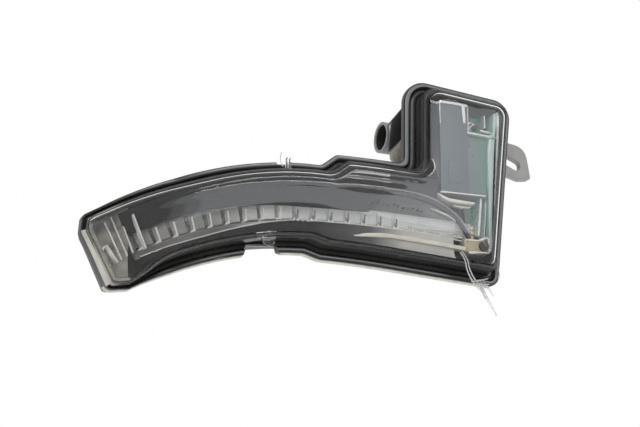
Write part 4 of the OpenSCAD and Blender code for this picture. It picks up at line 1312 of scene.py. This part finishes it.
# Silver posts beside the source row, and the pale braces at the frame's foot
bar_piece("light_posts", 0.2, silver, "grey_frame",
          ([(49.5, 22.0), (48.6, 13), (47.3, 1.3)], 1.3, 4.6, BOARD_Y),
          ([(52.6, 20.5), (52.0, 10), (51.0, 1.0)], 0.6, 5.4, BOARD_Y))
bar_piece("foot_brace", 0.25, cream_and_painted_highlight, "grey_frame",
          ([(23.6, 21.3), (27, 19.6), (30.4, 18.5), (37, 18.4), (45.4, 18.5)],
           [0.6, 1.4, 1.8, 1.7, 1.2], 4.2, 12.0),
          ([(33.0, 15.9), (38, 15.6), (43, 16.0)], [0.5, 0.8, 0.5], 4.6, 7.0))
bar_piece("source_screen", 0.2, green_dark, "grey_frame",
          ([(40.6, 16.6), (41.0, 11), (41.6, 5.2)], [1.6, 1.5, 1.3], 6.2, BOARD_Y))

# ---- Streaked reflector round the guide's end, inside the dark arc ----


def end_arc():
    pts = curve_points(ARC_LINE, 5)
    n = len(pts)
    grown = [min(1, 3 * i / n) for i in range(n)]
    dark, pale = Shape(), Shape()
    dark.stroke([(x, z - 1.4) for x, z in pts],
                [mix(0.6, 3.4, t) * mix(1, 0.6, i / n) for i, t in enumerate(grown)], 4.4, 6.4)
    pale.stroke([(x, z + 0.1) for x, z in pts], [mix(0.3, 0.8, t) for t in grown], 4.1, 5.4)
    return dark.make("end_arc_band", 0.3), pale.make("end_arc_line", 0.12)


def end_reflector():
    """Shallow scoop between the arc and the guide."""
    top = curve_points([(-17, 8.6), (-11.5, 13.4)] + [(x, z - 1.6) for x, z in ARC_LINE[:7]], 4)
    rings = []
    for x, z in top:
        low = min(GUIDE_Z + 4.1, z - 0.6)
        ring = [place(x, 5.3 + 0.8 * t + math.sin(math.pi * t), mix(z, low, t)) for t in steps(0, 1, 8)]
        rings.append(ring + [place(x, 8.2, low), place(x, 7.4, z)])
    shape = Shape()
    shape.sweep(rings)
    return shape.make("end_reflector", 0.12, 1)


def end_marks():
    """Small dark facets at the strip's upper edge, before the guide's end."""
    count = 11
    random.seed(4)
    shape = Shape()
    for i in range(count):
        x = -13 + 2.7 * i + random.uniform(-0.5, 0.5)
        z = mix(12.4, 10.6, i / (count - 1)) + random.uniform(-0.8, 0.5)
        w, h = random.uniform(0.7, 1.7), random.uniform(0.4, 0.9)
        shape.plate([(x, z), (x + w * 0.5, z - h * 0.4), (x + w, z), (x + w * 0.9, z + h * 0.6),
                     (x + w * 0.3, z + h)], 4.5, 6.2)
    return shape.make("end_marks", 0.12)


def foot_painted_highlight():
    """Cream band on the lower trim below the guide's end: a painted highlight, standing in for the bright line
    along the lens's lower face edge.
    """
    pts = curve_points([(-23.8, -7.0), (-12, -5.7), (-1.8, -5.4), (20, -6.0), (39.2, -6.9)])
    shape = Shape()
    widths = [2.2 * math.sin(math.pi * min(0.5, 0.06 + 1.2 * i / len(pts))) for i in range(len(pts))]
    shape.stroke(pts, widths, 4.4, 7.0)
    return shape.make("foot_painted_highlight", 0.35)


arc_band, arc_line = end_arc()
piece_of(arc_band, arc_dark, "grey_reflector")
piece_of(arc_line, arc_pale, "grey_reflector")
piece_of(end_reflector(), streaked, "grey_reflector")
# Bright prism edges that run along the guide's end
bar_piece("guide_end_lines", 0.12, frosted_and_painted_highlight, "clear_guide",
          ([(6.9, 1.1), (20, 1.4), (34.7, 1.7)], [0.5, 0.8, 0.5], 5.4, 6.1),
          ([(-1.7, -0.5), (15, -1.4), (37.5, -2.6)], [0.3, 0.7, 0.5], 5.4, 6.1),
          ([(20, 12.6), (30, 10.2), (37, 6.6)], [0.3, 0.9, 0.4], 5.0, 6.4))
piece_of(end_marks(), chip_black, "grey_reflector")
piece_of(foot_painted_highlight(), cream_and_painted_highlight, "dark_trim")


def clamp_piece():
    shape = Shape()
    shape.plate([(39.2, -8.2), (52.9, -8.2), (53.3, -3.4), (50.4, -0.6), (47.6, -1.1), (39.2, -1.1)], 5.0, BOARD_Y)
    shape.plate([(40.2, -7.0), (45.0, -7.4), (45.0, -2.4), (40.6, -2.2)], 4.6, 5.4)
    return shape.make("guide_clamp", 0.35)


CLAMP_EDGE_Y = (4.2, 5.6)
piece_of(clamp_piece(), gold, "cream_plastic", "guide_holder")
# Pinkish-white bars along the clamp's edges: painted highlights
bar_piece("clamp_painted_highlights", 0.2, painted_highlight_pink, "cream_plastic",
          ([(39.6, -2.0), (46.8, -1.6), (52.4, 0.7)], [0.8, 0.9, 1.1], *CLAMP_EDGE_Y),
          ([(52.6, 0.6), (53.5, -7.0)], 0.9, *CLAMP_EDGE_Y),
          ([(53.3, -7.6), (41.3, -8.6)], 0.8, *CLAMP_EDGE_Y))

# ---- Torn clear threads, as the photograph shows them ----


def thread_piece(name, paths):
    shape = Shape()
    for path, r0, r1 in paths:
        pts = curve_points(path)
        radii = steps(r0, r1, len(pts) - 1)
        for side in (-0.75, 0.75):
            strand = [p + Vector((side * r, 0, side * r * 0.3)) for p, r in zip(pts, radii)]
            shape.tube(strand, [max(0.13, r * 0.34) for r in radii], 8)
    return shape.make(name, 0, 2, 60)


def arm_point(x, o, z):
    return x, wrap_y(x, o), z


LOW_THREADS = [
    ([(32.1, -4.7, -11.9), (35.6, -3.4, -15.4), (38.6, 0.4, -18.4), (43.0, 5.0, -21.0), (46.7, 8.0, -22.9)],
     0.8, 1.3),
    ([(45.7, 8.0, -22.5), (49.4, 6.8, -22.0), (53.4, 7.4, -20.6)], 1.7, 1.0),
    ([(46.3, 8.0, -23.4), (50.0, 7.2, -24.2), (54.4, 7.6, -23.4)], 1.2, 0.8),
    ([(46.9, 8.2, -22.4), (48.8, 9.0, -24.6), (51.4, 8.6, -27.4), (54.2, 8.0, -31.0)], 1.3, 0.35),
    ([(48.7, 8.0, -22.2), (52.5, 8.6, -28.4), (55.6, 8.2, -34.0), (58.6, 8.0, -38.8)], 1.1, 0.3),
    ([(58.6, 8.0, -38.8), (58.8, 8.0, -39.3), (58.9, 8.0, -39.8)], 0.5, 0.4),
    ([(50.2, 7.9, -21.6), (53.6, 7.6, -24.8), (57.4, 7.9, -29.4)], 1.0, 0.25),
    ([(48.4, 7.9, -22.9), (50.6, 7.6, -27.0), (52.4, 7.9, -31.6)], 0.8, 0.2),
    ([(59.7, 7.6, -11.6), (60.6, 7.8, -15.0), (61.2, 8.0, -19.0)], 0.35, 0.6),
]
TOP_THREADS = [
    ([arm_point(-61.0, 4.0, 34.4), arm_point(-61.4, 4.2, 31.6), arm_point(-61.2, 4.0, 29.0),
      arm_point(-60.8, 2.4, 26.0)], 0.18, 0.3),
]
piece_of(thread_piece("clear_threads", LOW_THREADS), thread, "clear_lens")
piece_of(thread_piece("top_threads", TOP_THREADS), thread, "clear_lens")

# ---- Rear cover and the nodes that keep their shape ----


def bevelled_copy(node, name, width):
    obj = add_to_scene(name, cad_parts[node].data.copy())
    finish_mesh(obj)
    bevel_edges(obj, width, angle=30, least=40)
    return obj


piece_of(bevelled_copy("rear_cover", "cover_shell", 0.35), grey_cover, "grey_cover", "rear_cover")
SOCKET_Y = BACK_O + 1 + 2.5 + 6


def tube_painted_shade_lining():
    """Dark lining inside the connector tube, and a dark disc at its end: painted shade in the tube's hollow."""
    def ring(depth, r):
        return [place(MOUTH_X + depth, SOCKET_Y + r * math.cos(a), SOCKET_Z + r * math.sin(a)) for a in circle(40)]
    shape = Shape()
    shape.sweep([ring(0.8, 6.98), ring(7.6, 6.98), ring(7.6, 6.7), ring(1.0, 6.85)], True)
    shape.sweep([ring(9.0, 5.15), ring(9.6, 5.15)])
    return shape.make("tube_painted_shade_lining", 0)


def cover_flank():
    """Flank of the cover below the tube, beside the rim, coloured pale as a painted reflection of the floor below.
    """
    shape = Shape()
    shape.plate([(6.2, 47.6), (10.0, 52.0), (14.2, 58.4), (15.4, 59.6), (15.4, 44.0), (12.0, 42.9), (8.4, 42.2),
                 (6.6, 44.4)], 22.3, 25.2)
    return shape.make("cover_flank", 0.6)


piece_of(tube_painted_shade_lining(), tube_painted_shade, "grey_cover")
piece_of(cover_flank(), flank_painted_reflection, "grey_cover")
NODE_LOOK = {
    "lens_seal": rubber, "circuit_board": board_green, "indicator_leds": led_cream, "driver_chip": chip_black,
    "protection_diode": chip_black, "resistors": chip_black, "capacitors": tan, "board_screws": steel,
    "holder_screw": chip_black, "cover_gasket": rubber, "cover_screws": steel, "terminal_carrier": trim,
    "connector_terminals": brass, "vent_cap": trim,
}
for node, look in NODE_LOOK.items():
    dress(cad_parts[node], look)

# ---- Camera ----
TARGET = Vector((-0.1275, -0.031, -0.0539))
BACK = Vector((-0.3868, -0.8688, -0.3090)).normalized()
CAMERA_DISTANCE, SENSOR_WIDTH, FOCAL_LENGTH = 0.9, 36, 101.25


cam_data = bpy.data.cameras.new("camera")
cam_data.sensor_width, cam_data.lens = SENSOR_WIDTH, FOCAL_LENGTH
cam_data.clip_start, cam_data.clip_end = 0.01, 50
cam = add_to_scene("camera", cam_data)
cam.location = TARGET + BACK * CAMERA_DISTANCE
cam.rotation_mode = "QUATERNION"
cam.rotation_quaternion = (-BACK).to_track_quat("-Z", "Y")
bpy.context.scene.camera = cam

# ---- Floor, world and lamps ----
FLOOR_Z, FLOOR_HALF = -0.45, 6.0
CARD_X0, CARD_X1, CARD_NEAR_Y, CARD_FAR_Y, CARD_LOW_Z, CARD_HIGH_Z = -0.55, 0.25, -0.08, -0.60, -0.42, 0.05


def stage_plane(name, corners, mat):
    obj = new_object(name, [Vector(c) for c in corners], [[0, 1, 2, 3]])
    dress(obj, mat)
    return obj


def floor_material():
    """Pale matt floor that glossy surfaces see as the white background."""
    mat = new_material("floor", grey(0.9), 0.8)
    tree = mat.node_tree
    glow = add_node(tree, "Emission", Strength=1.0).outputs["Emission"]
    glossy = add_node(tree, "LightPath").outputs["Is Glossy Ray"]
    surface = mix_shaders(tree, glossy, tree.nodes["Principled BSDF"].outputs["BSDF"], glow)
    put(tree, tree.nodes["Material Output"].inputs["Surface"], surface)
    return mat


stage_plane("floor", [(x * FLOOR_HALF, y * FLOOR_HALF, FLOOR_Z) for x, y in ((-1, -1), (1, -1), (1, 1), (-1, 1))],
            floor_material())
# Dark card below and in front of the lamp: only reflections see it, so the lens's lower shoulder reads dark
card = stage_plane("dark_card", [(CARD_X0, CARD_NEAR_Y, CARD_LOW_Z), (CARD_X1, CARD_NEAR_Y, CARD_LOW_Z),
                                 (CARD_X1, CARD_FAR_Y, CARD_HIGH_Z), (CARD_X0, CARD_FAR_Y, CARD_HIGH_Z)],
                   new_material("dark_card", grey(0.03), 0.9))
card.visible_camera = card.visible_diffuse = card.visible_shadow = card.visible_transmission = False

# Camera and transmission rays see white. Glossy rays see a dimmer world, which keeps the black parts dark.
FRONT_LOW, FRONT_HIGH, BEHIND = 0.03, 0.45, 0.5
LOW_RISE, HIGH_RISE = 0.45, 0.85  # upward share of a direction, where the front goes from low to high
FRONT_END, BACK_START = -0.25, 0.2  # backward share of a direction, between which the front fades out
AMBIENT, AMBIENT_COLOR = 0.6, (0.97, 0.985, 1.0)
world = bpy.data.worlds.new("world")
bpy.context.scene.world = world
world.use_nodes = True
sky = world.node_tree
sky.nodes.clear()


def background(strength, color=(1, 1, 1)):
    return add_node(sky, "Background", Strength=strength, Color=(*color, 1)).outputs["Background"]


toward = add_node(sky, "SeparateXYZ", Vector=add_node(sky, "TexCoord").outputs["Generated"])
front = map_range(sky, toward.outputs["Z"], LOW_RISE, HIGH_RISE, FRONT_LOW, FRONT_HIGH)
behind = map_range(sky, toward.outputs["Y"], FRONT_END, BACK_START)
mirrored = background(add_node(sky, "Mix", Factor=behind, A=front, B=BEHIND).outputs["Result"])
path = add_node(sky, "LightPath").outputs
through = combine(sky, "MAXIMUM", path["Is Camera Ray"], path["Is Transmission Ray"])
unseen = mix_shaders(sky, path["Is Glossy Ray"], background(AMBIENT, AMBIENT_COLOR), mirrored)
add_node(sky, "OutputWorld", Surface=mix_shaders(sky, through, unseen, background(1.0)))


def area_lamp(name, centre, aim, size_x, size_y, radiance, color, turn=0.0, diffuse=True, glossy=True):
    data = bpy.data.lights.new(name, "AREA")
    data.shape = "RECTANGLE"
    data.size, data.size_y = size_x, size_y
    data.energy = radiance * math.pi * size_x * size_y
    data.color = color
    obj = add_to_scene(name, data)
    obj.location = centre
    obj.rotation_mode = "QUATERNION"
    look = (Vector(aim) - Vector(centre)).to_track_quat("-Z", "Y")
    obj.rotation_quaternion = look @ Quaternion((0, 0, 1), math.radians(turn))
    obj.visible_camera = obj.visible_transmission = False
    obj.visible_diffuse, obj.visible_glossy = diffuse, glossy


def panel_lamp(name, x, width, radiance):
    """Upright panel that only reflections see, turned straight to the back."""
    area_lamp(name, (x, PANEL_Y, PANEL_Z), (x, 0, PANEL_Z), width, PANEL_H, radiance, PANEL_COLOR, diffuse=False)


def strip_lamp(name, x, z, width, turn):
    """Narrow strip that only reflections see, aimed down at the lamp's own height."""
    area_lamp(name, (x, STRIP_Y, z), (x, 0, 0), width, STRIP_H, STRIP_RADIANCE, STRIP_COLOR, turn, diffuse=False)


PANEL_Y, PANEL_Z, PANEL_H, PANEL_COLOR = -1.15, 0.445, 0.36, (0.91, 0.965, 1.0)
STRIP_Y, STRIP_H, STRIP_RADIANCE, STRIP_COLOR = -1.12, 0.07, 9.0, (1.0, 0.93, 0.90)
FRONT_PANEL = ("front_panel", -0.04, 1.68, 2.5)
FADED_PANELS = (("panel_fade", -0.945, 0.13, 1.5), ("panel_end", -1.075, 0.13, 0.7))
STRIPS = (("strip_left", -0.675, 0.616, 0.46, -10.3), ("strip_middle", -0.15, 0.555, 0.6, 0.0),
          ("strip_right", 0.28, 0.583, 0.26, 10.0))
area_lamp("soft_key", (-0.3, -1.0, 1.0), (-0.1, 0, 0), 1.4, 0.9, 1.0, (1.0, 0.99, 0.97), glossy=False)
panel_lamp(*FRONT_PANEL)
for strip in STRIPS:
    strip_lamp(*strip)
for panel in FADED_PANELS:
    panel_lamp(*panel)
area_lamp("low_fill", (-0.1, -0.3, -0.43), (-0.1, -0.05, 0), 1.1, 0.45, 0.5, (1.0, 0.99, 0.96), glossy=False)

bpy.context.scene.view_settings.view_transform = "Standard"
